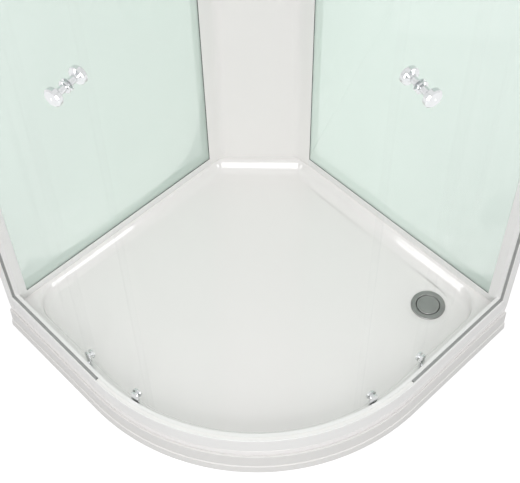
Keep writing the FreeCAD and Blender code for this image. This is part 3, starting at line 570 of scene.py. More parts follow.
def seal_finish(colours):
    """Clear soft extrusion: milky, with flow lines along its length."""
    it = Finish("clear_seal", IOR=1.46)
    lines = it.noise(240.0, 2.0, (1.0, 1.0, 0.01))
    facing = it.node("ShaderNodeLayerWeight", inputs={"Blend": 0.35}, output=1)
    it.set(Base_Color=it.mixed(it.noise(12.0), colours.seal, shaded(colours.seal, 0.95)),
           Roughness=0.18 + 0.15 * lines,
           Alpha=(0.01 + 0.03 * facing ** 3.0 + 0.01 * lines).clamped())
    return it.bump(lines, 0.0001, 0.4).material


def metal_finish(name, rgb, gloss, brushing, wear):
    """Plated metal with a fine satin grain, cloudy handling marks and a slightly uneven tone."""
    it = Finish(name, Metallic=1.0)
    grain = it.noise(800.0, 2.0)
    marks = it.ramp(it.noise(55.0, 5.0, rough=0.65), 0.5, 0.72)
    it.set(Base_Color=it.mixed(marks * wear, rgb, shaded(rgb, 0.72)),
           Roughness=gloss + brushing * grain + 0.16 * wear * marks)
    return it.bump(grain, 0.00003, 0.2 + brushing).material


def paint_finish(colours):
    """Sprayed paint on welded tube: light orange peel and dull overspray."""
    it = Finish("frame_paint", IOR=1.5)
    dull = it.ramp(it.noise(18.0, 5.0), 0.45, 0.7)
    it.set(Base_Color=it.mixed(dull, colours.frame_paint, shaded(colours.frame_paint, 0.82)),
           Roughness=0.36 + 0.22 * dull)
    return it.bump(it.noise(420.0, 3.0), 0.00012, 0.5).material


def board_finish(colours):
    """Pressed chipboard: flakes of several tones under a sealing coat."""
    it = Finish("chip_board", IOR=1.5)
    flakes = it.node("ShaderNodeTexVoronoi", {"feature": "F1"},
                     {"Vector": it.place, "Scale": 190.0, "Randomness": 1.0}, "Color")
    tone = it.node("ShaderNodeSeparateColor", inputs={"Color": flakes})
    it.set(Base_Color=it.mixed(tone, colours.board, shaded(colours.board, 0.55)),
           Roughness=0.5 + 0.2 * tone)
    return it.bump(tone + 0.5 * it.noise(900.0), 0.0002, 0.5).material


def plastic_finish(name, rgb, gloss, grain):
    """Moulded plastic with a fine spark-eroded grain."""
    it = Finish(name, IOR=1.47)
    it.set(Base_Color=it.mixed(it.noise(16.0), rgb, shaded(rgb, 0.9)),
           Roughness=gloss + 0.12 * it.noise(70.0, 3.0))
    return it.bump(it.noise(1500.0, 2.0), grain, 0.6).material


MADE = {}


def finish(name):
    """The material of that name, made the first time it is asked for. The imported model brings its
    own plain materials, some under the same names, so these are kept apart."""
    if name in MADE:
        return MADE[name]
    colours = bpy.context.scene.enclosure_finishes
    makers = {
        "sanitary_acrylic": lambda: acrylic_finish(
            name, colours.acrylic, colours.gloss, waves=0.0005, dried=0.04, IOR=1.49,
            Coat_Weight=0.5, Coat_Roughness=0.04),
        # Darker copy of the tray's acrylic: its darkness is painted shade, not a different plastic.
        "shaded_apron_acrylic": lambda: acrylic_finish(
            name, colours.apron, gloss=0.28, waves=0.00005, dried=0.01, IOR=1.36,
            Specular_IOR_Level=0.2),
        "white_powder_coat": lambda: coat_finish(colours),
        "white_moulding": lambda: moulding_finish(colours),
        "tinted_glass": lambda: glass_finish(name, colours.tint, colours.tint_body,
                                             rim_body=0.3, haze=0.3),
        "clear_glass": lambda: glass_finish(name, colours.clear, colours.clear_body,
                                            rim_body=0.02, haze=0.1),
        "glass_edge": lambda: edge_finish(colours),
        "glazing_rubber": lambda: rubber_finish(name, colours.rubber),
        "pale_rubber": lambda: rubber_finish(name, shaded(colours.coat, 0.9)),
        "grey_rubber": lambda: rubber_finish(name, colours.strip),
        "clear_seal": lambda: seal_finish(colours),
        "polished_chrome": lambda: metal_finish(name, colours.chrome, gloss=0.06,
                                                brushing=0.02, wear=0.5),
        "satin_waste": lambda: metal_finish(name, colours.waste, gloss=0.27, brushing=0.12,
                                            wear=0.6),
        "zinc_steel": lambda: metal_finish(name, colours.steel, gloss=0.26, brushing=0.14,
                                           wear=0.9),
        "frame_paint": lambda: paint_finish(colours),
        "chip_board": lambda: board_finish(colours),
        "black_plastic": lambda: plastic_finish(name, colours.black, gloss=0.42, grain=0.00008),
        "white_plastic": lambda: plastic_finish(name, colours.white, gloss=0.34, grain=0.00005),
    }
    MADE[name] = makers[name]()
    return MADE[name]


# ------------------------------------------------------------------ tray
SIDE_CORNER = 75.0
CHAMFER_CORNER = 30.0


def basin_outline(sizes, inset):
    """Basin plan brought in by inset: house-side edges, column chamfer and front curve, as one
    polygon whose corners are arcs that shrink by the same inset."""
    wall = sizes.wall * METRE
    centre = curve_centre(sizes)
    rail_inner = (sizes.front_radius - sizes.rail_setback - sizes.rail_width) * METRE
    radius = rail_inner - sizes.basin_front * METRE - inset
    edge = wall - sizes.basin_side * METRE - inset
    near = 2 * wall - (sizes.basin_back * METRE + inset) * math.sqrt(2) - edge
    corners = [(-edge, centre[1] - radius), (centre[0] + radius, centre[1] - radius),
               (centre[0] + radius, edge), (-near, edge), (-edge, near)]
    side, chamfer = SIDE_CORNER - inset, CHAMFER_CORNER - inset
    return rounded(corners, [side, radius, side, chamfer, chamfer], steps=60, limit=0.99)


def tray_outline(sizes, radius, inset):
    """Tray plan with its front at a radius and its house sides brought in."""
    wall = sizes.wall * METRE - inset
    centre = curve_centre(sizes)
    corners = [(-wall, centre[1] - radius), (centre[0] + radius, centre[1] - radius),
               (centre[0] + radius, wall), (-wall, wall)]
    return rounded(corners, [1.0, radius, 1.0, 1.0], steps=120, limit=0.99)


def on_rays(outline, angles):
    """Points of a closed outline round the origin at the given polar angles, by linear
    interpolation of its own points ordered by their polar angle."""
    polar = np.arctan2(outline[:, 1], outline[:, 0])
    order = np.argsort(polar)
    polar = polar[order]
    line = outline[order]
    polar = np.concatenate([polar[-1:] - 2 * math.pi, polar, polar[:1] + 2 * math.pi])
    line = np.concatenate([line[-1:], line, line[:1]])
    return np.stack([np.interp(angles, polar, line[:, i]) for i in (0, 1)], 1)


def tray_angles(sizes):
    """Polar angles for the tray's columns: even steps, and finer ones over a spread to both sides
    of each plan corner of the basin and the tray. One too close to the last is left out."""
    wall = sizes.wall * METRE
    basin = wall - sizes.basin_side * METRE - 3.0
    spots = with_twins([(-wall, 15.0 - wall), (-basin, 60.0 - wall), (-basin, 253.0)])
    spots.append((-wall, wall))
    spread, closest = 11.0, 0.12
    even = np.linspace(-math.pi, math.pi, 300, endpoint=False)
    fine = np.radians(np.linspace(-spread, spread, 45))
    around = np.concatenate([np.arctan2(y, x) + fine for x, y in spots])
    around = np.mod(around + math.pi, 2 * math.pi) - math.pi
    angles = np.sort(np.concatenate([even, around]))
    return angles[np.concatenate([[True], np.diff(angles) > math.radians(closest)])]


def frontness(outline):
    """How far a closed outline looks to the front at each point, from none to all: a smooth step
    of its outward direction, the tangent turned a quarter, along the front diagonal."""
    starts, ends = -0.4, 0.5
    tangent = np.roll(outline, -1, 0) - np.roll(outline, 1, 0)
    out = np.stack([tangent[:, 1], -tangent[:, 0]], 1) / np.linalg.norm(tangent, axis=1)[:, None]
    frontal = out @ np.array([1.0, -1.0]) / math.sqrt(2)
    part = np.clip((frontal - starts) / (ends - starts), 0.0, 1.0)
    return part * part * (3.0 - 2.0 * part)


def tray_surface(sizes):
    """Tray as one closed surface. Every ring is a plan outline cut by the same rays: from the
    skirt's foot over the rim, down the basin's leaning wall, which turns on an arc at each end,
    over the falling floor to the waste hole, and back underneath, where the sheet's thickness is
    taken off. The wall's rings lie inset times the inward step from its upper edge, and its run is
    its rise over the tangent of its lean."""
    angles = tray_angles(sizes)
    rim = sizes.rim * METRE
    low = rim - sizes.basin_depth * METRE
    joggle_r = TRAY_HIGH[0] - curve_centre(sizes)[0]
    tray_r = (sizes.front_radius - sizes.rail_setback) * METRE - 4.05
    skirt_foot = TRAY_LOW[2]
    shelf = RAIL_LOW[2] - 0.3
    sheet, fall = 4.0, 0.008
    rings = []

    def ring(plan, height):
        """Adds a ring: its plan points at one height, or each at its own."""
        rings.append(np.column_stack([plan, np.broadcast_to(height, len(plan))]))

    def floor(plan):
        """Height of the floor: a plane that falls along x = y and is low at the waste's centre."""
        return low + fall * ((WASTE_CENTRE - plan) @ np.array([1.0, 1.0])) / math.sqrt(2)

    # Outside: front radius, how far the house sides are brought in, and height.
    for radius, inset, height in ((joggle_r, 0.0, skirt_foot), (joggle_r, 0.0, shelf - 1.2),
                                  (joggle_r - 0.35, 0.0, shelf - 0.35),
                                  (joggle_r - 1.2, 0.02, shelf), (tray_r + 0.3, 0.04, shelf),
                                  (tray_r, 0.05, shelf + 0.3), (tray_r, 0.05, rim - 0.8),
                                  (tray_r - 0.25, 0.3, rim - 0.25), (tray_r - 0.8, 0.85, rim)):
        ring(on_rays(tray_outline(sizes, radius, inset), angles), height)
    edge = on_rays(basin_outline(sizes, 0.0), angles)
    inward = (on_rays(basin_outline(sizes, 10.0), angles) - edge) / 10.0
    front = frontness(edge)
    lean = sizes.wall_lean + (sizes.front_lean - sizes.wall_lean) * front
    lip = (sizes.lip_round + (sizes.front_lip - sizes.lip_round) * front) * METRE
    foot = (sizes.floor_round + (sizes.front_floor - sizes.floor_round) * front) * METRE
    for part in np.linspace(0.0, 1.0, 8):
        inset = lip * (np.sin(part * lean) - np.sin(lean))
        ring(edge + inward * inset[:, None], rim - lip * (1.0 - np.cos(part * lean)))
    upper = rim - lip * (1.0 - np.cos(lean))
    rise = upper - floor(edge) - foot * (1.0 - np.cos(lean))
    run = rise / np.tan(lean)
    for part in (0.08, 0.5, 0.92):
        ring(edge + inward * (run * part)[:, None], upper - rise * part)
    for part in np.linspace(1.0, 0.0, 10):
        inset = run + foot * (np.sin(lean) - np.sin(part * lean))
        plan = edge + inward * inset[:, None]
        ring(plan, floor(plan) + foot * (1.0 - np.cos(part * lean)))
    edge = plan
    spokes = np.stack([np.cos(angles), np.sin(angles)], 1)
    dish, hole = 60.0, 34.5
    for step in np.linspace(0.0, 1.0, 9)[1:]:
        plan = (1 - step) * edge + step * (WASTE_CENTRE + dish * spokes)
        ring(plan, floor(plan))
    seat, under = low - 2.5, low - 8.0
    # Round the waste: radius and height, down to the flange's seat and through the hole.
    for radius, height in ((57.0, low - 0.25), (52.0, low - 1.1), (49.0, low - 2.0), (46.0, seat),
                           (hole + 0.7, seat), (hole, seat - 0.6), (hole, TRAY_LOW[2] + 4.7),
                           (dish, under)):
        ring(WASTE_CENTRE + radius * spokes, height)
    # Underneath: outwards below the floor, up outside the wall, and down inside the skirt.
    for inset, height in ((-3.0, under), (-5.0, under + sheet), (-5.0, rim - 17.0),
                          (-18.0, rim - 5.0)):
        ring(on_rays(basin_outline(sizes, inset), angles), height)
    for radius, inset, height in ((tray_r, sheet, rim - 5.0), (tray_r, sheet, shelf - sheet),
                                  (joggle_r, sheet - 0.05, shelf - sheet),
                                  (joggle_r, sheet - 0.05, skirt_foot)):
        ring(on_rays(tray_outline(sizes, radius - sheet, inset), angles), height)
    return [shell(np.stack(rings), wrap_rows=True)]


class BuildTray(bpy.types.Operator):
    """Acrylic tray with its basin, falling floor and waste dish"""
    bl_idname = "shower.tray"
    bl_label = "Tray"

    def execute(self, context):
        sizes = context.scene.enclosure_sizes
        piece("tray", ROOT, tray_surface(sizes), finish("sanitary_acrylic"),
              ["tray_shell"], sharp=50.0)
        return {"FINISHED"}


# ------------------------------------------------------------------ apron and rails
def apron_profile(sizes):
    """Apron section as (radius, height): lip, ledge, leaning face, lower step and foot."""
    foot = sizes.front_radius * METRE
    rail = foot - sizes.rail_setback * METRE
    lip, ledge, brow = rail - 4.3, rail + 4.5, foot - 2.4
    lip_top, ledge_top, step, low = 85.1, 68.0, 25.0, 1.5
    sheet, slant = 3.0, 1.2
    corners = [(lip - sheet, ledge_top - sheet), (lip - sheet, lip_top), (lip, lip_top),
               (lip, ledge_top), (ledge, ledge_top), (ledge + 1.5, step), (brow, step - 1.5),
               (foot, low), (foot - sheet, low), (brow - sheet, step - 1.5 - slant),
               (ledge + 1.5 - sheet, step - slant), (ledge - sheet, ledge_top - sheet)]
    radii = [0.5, 1.2, 1.2, 0.8, 1.6, 1.2, 1.4, 0.8, 0.8, 1.2, 1.2, 1.0]
    return rounded(corners, radii, 4)


class BuildApron(bpy.types.Operator):
    """Stepped front apron"""
    bl_idname = "shower.apron"
    bl_label = "Front apron"

    def execute(self, context):
        sizes = context.scene.enclosure_sizes
        path = front_path(sizes, straight_run(sizes) - 0.3)
        # The apron takes the darker copy of the acrylic, whose darkness is painted shade.
        piece("apron", ROOT, [swept(apron_profile(sizes), *path)], finish("shaded_apron_acrylic"),
              ["front_apron"])
        return {"FINISHED"}


def rail_radii(sizes):
    """Radii of a rail: outer face, slot's outer and inner side, and inner face."""
    outer = (sizes.front_radius - sizes.rail_setback) * METRE
    slot_out = outer - SLOT_SETBACK
    return outer, slot_out, slot_out - sizes.slot_width * METRE, outer - sizes.rail_width * METRE


def bottom_rail_profile(sizes):
    """Sill rail section: skirt, glass slot from above and wheel channel from the inside."""
    outer, slot_out, slot_in, inner = rail_radii(sizes)
    low, top, rim = RAIL_LOW[2], RAIL_HIGH[2], sizes.rim * METRE
    back, web = inner + CHANNEL_LIP, slot_in - CHANNEL_WEB
    roof, upper, lower, tread = top - 4, top - 7, rim + 10, rim + 7
    corners = [(outer, low), (outer, top), (slot_out, top), (slot_out, top - SLOT_DEEP),
               (slot_in, top - SLOT_DEEP), (slot_in, top), (inner, top), (inner, upper),
               (back, upper), (back, roof), (web, roof), (web, tread), (back, tread),
               (back, lower), (inner, lower), (inner, rim), (slot_out, rim), (slot_out, low)]
    soft = sizes.edge_round * METRE
    radii = [soft, 1.3, 0.5, 0.3, 0.3, 0.5, 1.3] + [0.35] * 8 + [soft, 0.3, soft]
    return rounded(corners, radii, 4)


def top_rail_profile(sizes):
    """Head rail section: glass slot from below and the channel that carries the doors."""
    outer, slot_out, slot_in, inner = rail_radii(sizes)
    low, top = HEAD_LOW[2], HEAD_HIGH[2]
    back, web, fin = inner + CHANNEL_LIP, slot_in - CHANNEL_WEB, slot_in - 2
    roof, upper, lower, tread, foot = top - 11, top - 15.2, low + 14.8, low + 12, low + 9
    deep = low + SLOT_DEEP + 2
    corners = [(outer, low), (outer, top), (inner, top), (inner, upper), (back, upper),
               (back, roof), (web, roof), (web, tread), (back, tread), (back, lower),
               (inner, lower), (inner, foot), (fin, foot), (fin, low), (slot_in, low),
               (slot_in, deep), (slot_out, deep), (slot_out, low)]
    soft = sizes.edge_round * METRE
    return rounded(corners, [soft, 1.3, 1.3] + [0.35] * 8 + [0.6] * 3 + [0.5, 0.3, 0.3, 0.5], 4)


def cover_surface(sizes):
    """Clip-in sill cover: an arched channel section swept round the curve. Each end is hollowed by
    the circle root(half width squared - offset squared), which ends the slots in a half round."""
    slot_out, slot_in = rail_radii(sizes)[1:3]
    clearance, cheek, roof = 0.15, 1.2, 2.0
    start, end = 0.45, 89.55
    top, foot = RAIL_HIGH[2], RAIL_HIGH[2] - SLOT_DEEP + 0.3
    a, b = slot_in + clearance, slot_out - clearance
    corners = [(a, foot), (a, top), (b, top), (b, foot), (b - cheek, foot),
               (b - cheek, top - roof), (a + cheek, top - roof), (a + cheek, foot)]
    profile = rounded(corners, [0.3, 0.5, 0.5, 0.3, 0.3, 0.3, 0.3, 0.3], 3)
    half = sizes.slot_width * METRE / 2
    offset = profile[:, 0] - (slot_in + slot_out) / 2
    hollow = np.degrees(np.sqrt(half ** 2 - offset ** 2) / profile[:, 0])
    inside = np.linspace(start + 1.0, end - 1.0, sizes.arc_steps)[:, None]
    turn = np.radians(np.concatenate([(start + hollow)[None], np.repeat(inside, len(profile), 1),
                                      (end - hollow)[None]]))
    centre = curve_centre(sizes)
    grid = np.stack([centre[0] + profile[:, 0] * np.sin(turn),
                     centre[1] - profile[:, 0] * np.cos(turn),
                     np.broadcast_to(profile[:, 1], turn.shape)], 2)
    return [shell(grid)]


class BuildRails(bpy.types.Operator):
    """Sill rail with its cover, and head rail"""
    bl_idname = "shower.rails"
    bl_label = "Rails"

    def execute(self, context):
        sizes = context.scene.enclosure_sizes
        path = front_path(sizes, straight_run(sizes) - POST_FRONT)
        coat = finish("white_powder_coat")
        piece("sill_rail", ROOT, [swept(bottom_rail_profile(sizes), *path)], coat,
              ["bottom_rail"])
        piece("head_rail", ROOT, [swept(top_rail_profile(sizes), *path)], coat,
              ["top_rail"])
        piece("slot_cover", ROOT, cover_surface(sizes), finish("white_moulding"),
              ["sill_cover"])
        return {"FINISHED"}


# ------------------------------------------------------------------ posts
def post_surface(sizes):
    """Wall post: its plan section raised, with the glass face cut back where the rails butt, and
    the short skirt over the tray's edge."""
    wall = sizes.wall * METRE
    outer, slot_out, slot_in, inner = (curve_centre(sizes)[1] - r for r in rail_radii(sizes))
    front, face, edge, gap = POST_FRONT - wall, PROFILE_FACE - wall, outer + 43, 0.3
    slot_floor = front - 17
    corners = [(-wall, outer), (front, outer), (front, slot_out), (slot_floor, slot_out),
               (slot_floor, slot_in), (front, slot_in), (front, inner - 5.5),
               (face, inner + 0.5), (face, edge), (GROOVE_FRONT - wall, edge),
               (GROOVE_FRONT - wall, edge - GROOVE_DEEP), (GROOVE_BACK - wall, edge - GROOVE_DEEP),
               (GROOVE_BACK - wall, edge), (-wall, edge)]
    radii = [0.4, 1.3, 0.5, 0.3, 0.3, 0.5, 2.5, 4.0, 0.6, 0.4, 0.3, 0.3, 0.4, 0.4]
    outline = rounded(corners, radii, 4)
    cut = outline.copy()
    cut[(outline[:, 0] > front + 0.01) & (outline[:, 1] < inner + gap), 0] = front
    rim, top = sizes.rim * METRE, HEAD_HIGH[2]
    low, high = RAIL_HIGH[2] + gap, HEAD_LOW[2] - gap
    body = upright([cut, cut, outline, outline, cut, cut], [rim, low, low, high, high, top])
    skirt = rounded([(-wall, outer), (front, outer), (front, slot_out), (-wall, slot_out)],
                    [0.4, 1.3, 0.4, 0.4], 4)
    return [body, upright(skirt, [RAIL_LOW[2], rim + 0.5])]


def screw_head(place, axis, radius, height):
    """Pan head with a cross recess, for a level screw: a turned dome, its height falling with the
    cube of the radius, whose middle drops by the recess's depth wherever the distance to the nearer
    of two crossed lines is under half an arm's width. A skirt and a flat back close it."""
    steps, rows = 48, 12
    arm_half, arm_reach = 0.16 * radius, 0.62
    recess, brow = 0.55 * height, 0.55 * height
    across = np.linspace(0.0, 1.0, rows)
    turn = np.linspace(0.0, 2 * math.pi, steps, endpoint=False)[:, None]
    arm = np.minimum(np.abs(np.sin(turn)), np.abs(np.cos(turn))) * across * radius
    within = (arm < arm_half) & (across < arm_reach)
    dome = height * (1.0 - 0.35 * across ** 3) - recess * within
    skirt = np.broadcast_to([[radius, radius, 0.0]], (steps, 3))
    skirt_level = np.broadcast_to([[brow, 0.0, 0.0]], (steps, 3))
    radial = np.broadcast_to(across * radius * 0.94, (steps, rows))
    radial = np.concatenate([radial, skirt], 1)[..., None]
    level = np.concatenate([dome, skirt_level], 1)[..., None]
    axis = np.asarray(axis, float)
    side = np.array([0.0, 0.0, 1.0])
    ring = np.cos(turn)[..., None] * side + np.sin(turn)[..., None] * np.cross(axis, side)
    return shell(np.asarray(place, float) + level * axis + radial * ring, wrap_rows=True,
                 wrap_columns=False)


def screw(place, way, head_radius, head_height, shank_radius, shank):
    """Level screw: a head that stands out from its seat against the way it is driven, and a plain
    shank with eased edges behind the seat."""
    place, way = np.asarray(place, float), np.array([way, 0.0, 0.0])
    profile = rounded([(0, 0), (shank_radius, 0), (shank_radius, shank), (0, shank)], 0.25, 2,
                      closed=False)
    return [screw_head(place, -way, head_radius, head_height),
            turned(profile, place, way, steps=24, closed=False)]


SCREW_LEVELS = (340.0, 1000.0, 1660.0)


class BuildPosts(bpy.types.Operator):
    """Wall posts and the screws in them"""
    bl_idname = "shower.posts"
    bl_label = "Wall posts"

    def execute(self, context):
        sizes = context.scene.enclosure_sizes
        pair("post", "wall_post", post_surface(sizes), finish("white_powder_coat"))
        wall, centre, radii = sizes.wall * METRE, curve_centre(sizes)[1], rail_radii(sizes)
        slot, behind = centre - (radii[1] + radii[2]) / 2, centre - radii[0] + 16
        fixed = [screw((8 - wall, slot, z), -1, 3.5, 2.0, 2.15, 8) for z in SCREW_LEVELS]
        joining = [screw((5 - wall, behind, z), 1, 3.4, 2.4, 2.05, 40)
                   for z in (sizes.rim * METRE + 3.8, HEAD_HIGH[2] - 5.5)]
        for name, node, screws in (("post_screws", "wall_screws", fixed),
                                   ("rail_end_screws", "rail_screws", joining)):
            shells = [part for made in screws for part in made]
            piece(name, ROOT, shells + mirrored(shells), finish("zinc_steel"),
                  [node])
        return {"FINISHED"}


# ------------------------------------------------------------------ rear walls and column
def bar_surface(sizes, foot, sight):
    """Level profile of a rear wall, from its foot to the glass's sight line: its section in (x, z)
    carried along the wall."""
    wall = sizes.wall * METRE
    face, front, back = (depth - wall for depth in (PROFILE_FACE, GROOVE_FRONT, GROOVE_BACK))
    groove = sight - math.copysign(GROOVE_DEEP, sight - foot)
    corners = [(-wall, foot), (face, foot), (face, sight), (front, sight), (front, groove),
               (back, groove), (back, sight), (-wall, sight)]
    section = rounded(corners, [0.3, 0.7, 0.7, 0.3, 0.3, 0.3, 0.3, 0.3], 3)
    low, high = node_box("wall_sill_left")
    return [straight(section, 1, (low[1], high[1]))]


def gasket_surface():
    """Glazing gasket: a lip section carried round the glass's sight line, mitred at the corners.
    Each point is a corner of the sight line plus its inward direction times the section's first
    number, at the depth of the second."""
    sill_low, sill_high = node_box("wall_sill_left")
    head_low = node_box("wall_head_left")[0]
    face = node_box("wall_glass_left")[1][0]
    section = rounded([(-6, face), (1.0, face), (0.9, face + 0.6), (0.6, face + 1.1),
                       (-0.1, face + 1.1), (-0.1, face + 0.8), (-6, face + 0.8)],
                      [0.2, 0.3, 0.4, 0.4, 0.2, 0.1, 0.2], 3)
    corner = np.array([(sill_low[1], sill_high[2]), (sill_high[1], sill_high[2]),
                       (sill_high[1], head_low[2]), (sill_low[1], head_low[2])])
    inward = np.array([(1, 1), (-1, 1), (-1, -1), (1, -1)])
    spot = corner[:, None] + inward[:, None] * section[None, :, :1]
    depth = np.broadcast_to(section[None, :, 1:], spot.shape[:2] + (1,))
    return [shell(np.concatenate([depth, spot], 2), wrap_rows=True)]


def pale_side(made, along):
    """Gives the gasket's upright beside the post a pale lip. Its faces have their centres near
    mid-height, and along the wall's plan axis they lie furthest from the house corner."""
    centre = face_values(made, "center", 3)
    spot = centre[:, along] * (1.0 if along else -1.0)
    upright_face = np.abs(centre[:, 2] - centre[:, 2].mean()) < 0.5
    second_finish(made, upright_face & (spot < spot.min() + 0.012), finish("pale_rubber"))


def pane_shells(low, high):
    """Flat pane: a rectangle with rounded corners, raised along its thinnest side, whose first and
    last outline shrink about their middle to ease the edges."""
    edge = 0.6
    thin = int(np.argmin(high - low))
    broad = [i for i in range(3) if i != thin]
    (left, foot), (right, head) = low[broad], high[broad]
    full = rounded([(left, foot), (right, foot), (right, head), (left, head)], 1.6, 4)
    middle, half = (low + high)[broad] / 2, (high - low)[broad] / 2
    small = middle + (full - middle) * (1 - edge / half)
    grid = np.empty((4, len(full), 3))
    grid[..., broad] = [small, full, full, small]
    levels = [low[thin], low[thin] + edge, high[thin] - edge, high[thin]]
    grid[..., thin] = np.array(levels)[:, None]
    return [shell(grid)]


def glass_edges(made, broad):
    """Gives the faces that don't look along the pane's broad direction the polished edge."""
    facing = np.abs(face_values(made, "normal", 3) @ np.array(broad, float))
    second_finish(made, facing < 0.8, finish("glass_edge"))


class BuildRearWalls(bpy.types.Operator):
    """Rear glass, its gaskets, sills and heads"""
    bl_idname = "shower.rear_walls"
    bl_label = "Rear walls"

    def execute(self, context):
        sizes = context.scene.enclosure_sizes
        coat = finish("white_powder_coat")
        sill = node_box("wall_sill_left")
        head = node_box("wall_head_left")
        pair("glass_sill", "wall_sill", bar_surface(sizes, sill[0][2], sill[1][2]), coat)
        pair("glass_head", "wall_head", bar_surface(sizes, head[1][2], head[0][2]), coat)
        gaskets = pair("glass_gasket", "wall_gasket", gasket_surface(),
                       finish("glazing_rubber"))
        for made, along in zip(gaskets, (1, 0)):
            pale_side(made, along)
        panes = pair("rear_glass", "wall_glass", pane_shells(*node_box("wall_glass_left")),
                     finish("tinted_glass"))
        glass_edges(panes[0], (1, 0, 0))
        glass_edges(panes[1], (0, 1, 0))
        return {"FINISHED"}


WING_REACH = 223.5  # house corner to a wing's edge, along the wall
TURN_REACH = 178.0  # house corner to where a wing meets the face, along the wall
FACE_SETBACK = 151.0  # house corner to the face, along the diagonal
COLUMN_WALL = 4.0


def column_halves(sizes):
    """Plan corners of the column's left half: the visible side from the house wall to the face,
    and the hidden side back again at the wall's thickness. The wing leans in from its tip to the
    turn, where it meets the face, which lies on the diagonal y - x = diagonal."""
    wall = sizes.wall * METRE
    edge, turn_y = wall - WING_REACH, wall - TURN_REACH
    diagonal = 2 * wall - FACE_SETBACK * math.sqrt(2)
    tip_x, turn_x = PROFILE_FACE - wall, turn_y - diagonal
    slope = (turn_x - tip_x) / (turn_y - edge)
    back_diagonal = diagonal + COLUMN_WALL * math.sqrt(2)
    back_x = tip_x - COLUMN_WALL * math.sqrt(1 + slope * slope)
    back_y = (back_x - slope * edge + back_diagonal) / (1 - slope)
    groove, hidden = edge + GROOVE_DEEP, edge + COLUMN_WALL
    end_y = groove + COLUMN_WALL
    inner_x = GROOVE_BACK - COLUMN_WALL - wall
    front = [(-wall, edge), (GROOVE_BACK - wall, edge), (GROOVE_BACK - wall, groove),
             (GROOVE_FRONT - wall, groove), (GROOVE_FRONT - wall, edge), (tip_x, edge),
             (turn_x, turn_y)]
    back = [(back_y - back_diagonal, back_y), (back_x + slope * (end_y - edge), end_y),
            (inner_x, end_y), (inner_x, hidden), (-wall, hidden)]
    return front, back


class BuildColumn(bpy.types.Operator):
    """Corner column and its cap"""
    bl_idname = "shower.column"
    bl_label = "Corner column"

    def execute(self, context):
        wall = context.scene.enclosure_sizes.wall * METRE
        white = finish("white_moulding")
        front, back = column_halves(context.scene.enclosure_sizes)
        corners = with_twins(front) + [(-y, -x) for x, y in reversed(back)] + back
        first = [0.4, 0.3, 0.3, 0.3, 0.3, 0.8, 35.0]
        last = [39.0, 0.4, 0.4, 0.4, 0.4]
        outline = rounded(corners, first + first[::-1] + last[::-1] + last, 12)
        low, high = node_box("corner_column")
        levels = [low[2], low[2] + 40, high[2] - 40, high[2]]
        piece("column", ROOT, [upright(outline, levels)], white,
              ["corner_column"])
        gap = 0.6
        (face_x, face_y), (end_x, end_y), (inner_x, _), (_, hidden) = back[:4]
        half = [(-wall, hidden + gap), (inner_x - gap, hidden + gap),
                (inner_x - gap, end_y + gap), (end_x - gap, end_y + gap),
                (face_x - gap, face_y - gap), (face_x + 10, face_y + 11.2)]
        plate = rounded(with_twins(half) + [(-wall, wall)],
                        [gap] * 4 + [12.0] * 4 + [gap] * 5, 4)
        low, high = node_box("column_cap")
        piece("column_lid", ROOT, [upright(plate, [low[2], high[2]])], white,
              ["column_cap"])
        return {"FINISHED"}


# ------------------------------------------------------------------ front glass
def turned_plan(sizes, turn, corners):
    """Plan corners given as (distance along the curve, radius) where the front curve has turned by
    so many degrees: centre plus the radius outwards plus the distance along the tangent."""
    angle = math.radians(turn)
    out = np.array([math.sin(angle), -math.cos(angle)])
    along = np.array([math.cos(angle), math.sin(angle)])
    corners = np.asarray(corners, float)
    return curve_centre(sizes) + corners[:, 1:] * out + corners[:, :1] * along


def seal_section(grip, edge, inner, outer, fin):
    """Corners of a seal on a glass edge, from the grip round the edge. The fourth and fifth are a
    lip's tip, fin wide and barely proud."""
    way = math.copysign(1.0, edge - grip)
    lip = 0.1 * math.copysign(1.0, inner - outer)
    return [(grip, inner), (grip, outer), (edge, outer), (edge, inner + lip),
            (edge - way * fin, inner + lip), (edge - way * (fin + 0.1), inner)]


def finned(corners, reach, low, high):
    """Upright seal: its section raised, with the lip's tip moved out by reach as a wiping fin that
    keeps clear of the rails."""
    corners = np.asarray(corners, float)
    drawn = corners.copy()
    drawn[3:5] += reach
    radii = [0.9, 0.9, 0.9, 0.5, 0.5, 0.3]
    bare, full = rounded(corners, radii, 4), rounded(drawn, radii, 4)
    clear = 40.0
    start, end = RAIL_HIGH[2] + clear, HEAD_LOW[2] - clear
    return upright([bare, bare, full, full, bare, bare], [low, start, start, end, end, high])


def bead_shells():
    """Glazing bead that fills the slots round a pane's foot, head and hidden upright: a bar whose
    face has two raised lips, carried along each slot. Its face stays a little below the slot's
    mouth. The upright bar runs into the level ones and stops short of their backs, so that no edge
    of one lies on an edge of another."""
    low, high = node_box("glazing_strip_left")
    lip, sunk, below, past, short = 1.2, 0.5, 0.5, 3.7, 0.2
    sides = [low[1], low[1] + lip, low[1] + lip + 0.3]
    sides += [low[1] + high[1] - y for y in reversed(sides)]
    depth = [0.0, 0.0, sunk, sunk, 0.0, 0.0]

    def section(back, face):
        """The bar's section: its sides from back to face, and the face sunk between two lips."""
        way = math.copysign(1.0, face - back)
        corners = [(y, face - way * down) for y, down in zip(sides, depth)]
        return rounded(corners + [(high[1], back), (low[1], back)], 0.3, 3)

    ends = (low[0], PANE_HIGH[0] + past)
    mouth = node_box("wall_post_left")[0][0] + POST_FRONT - 0.1
    standing = upright(section(low[0], mouth)[:, ::-1], [low[2] + short, high[2] - short])
    return [straight(section(low[2], RAIL_HIGH[2] - below), 0, ends),
            straight(section(high[2], HEAD_LOW[2] + below), 0, ends), standing]


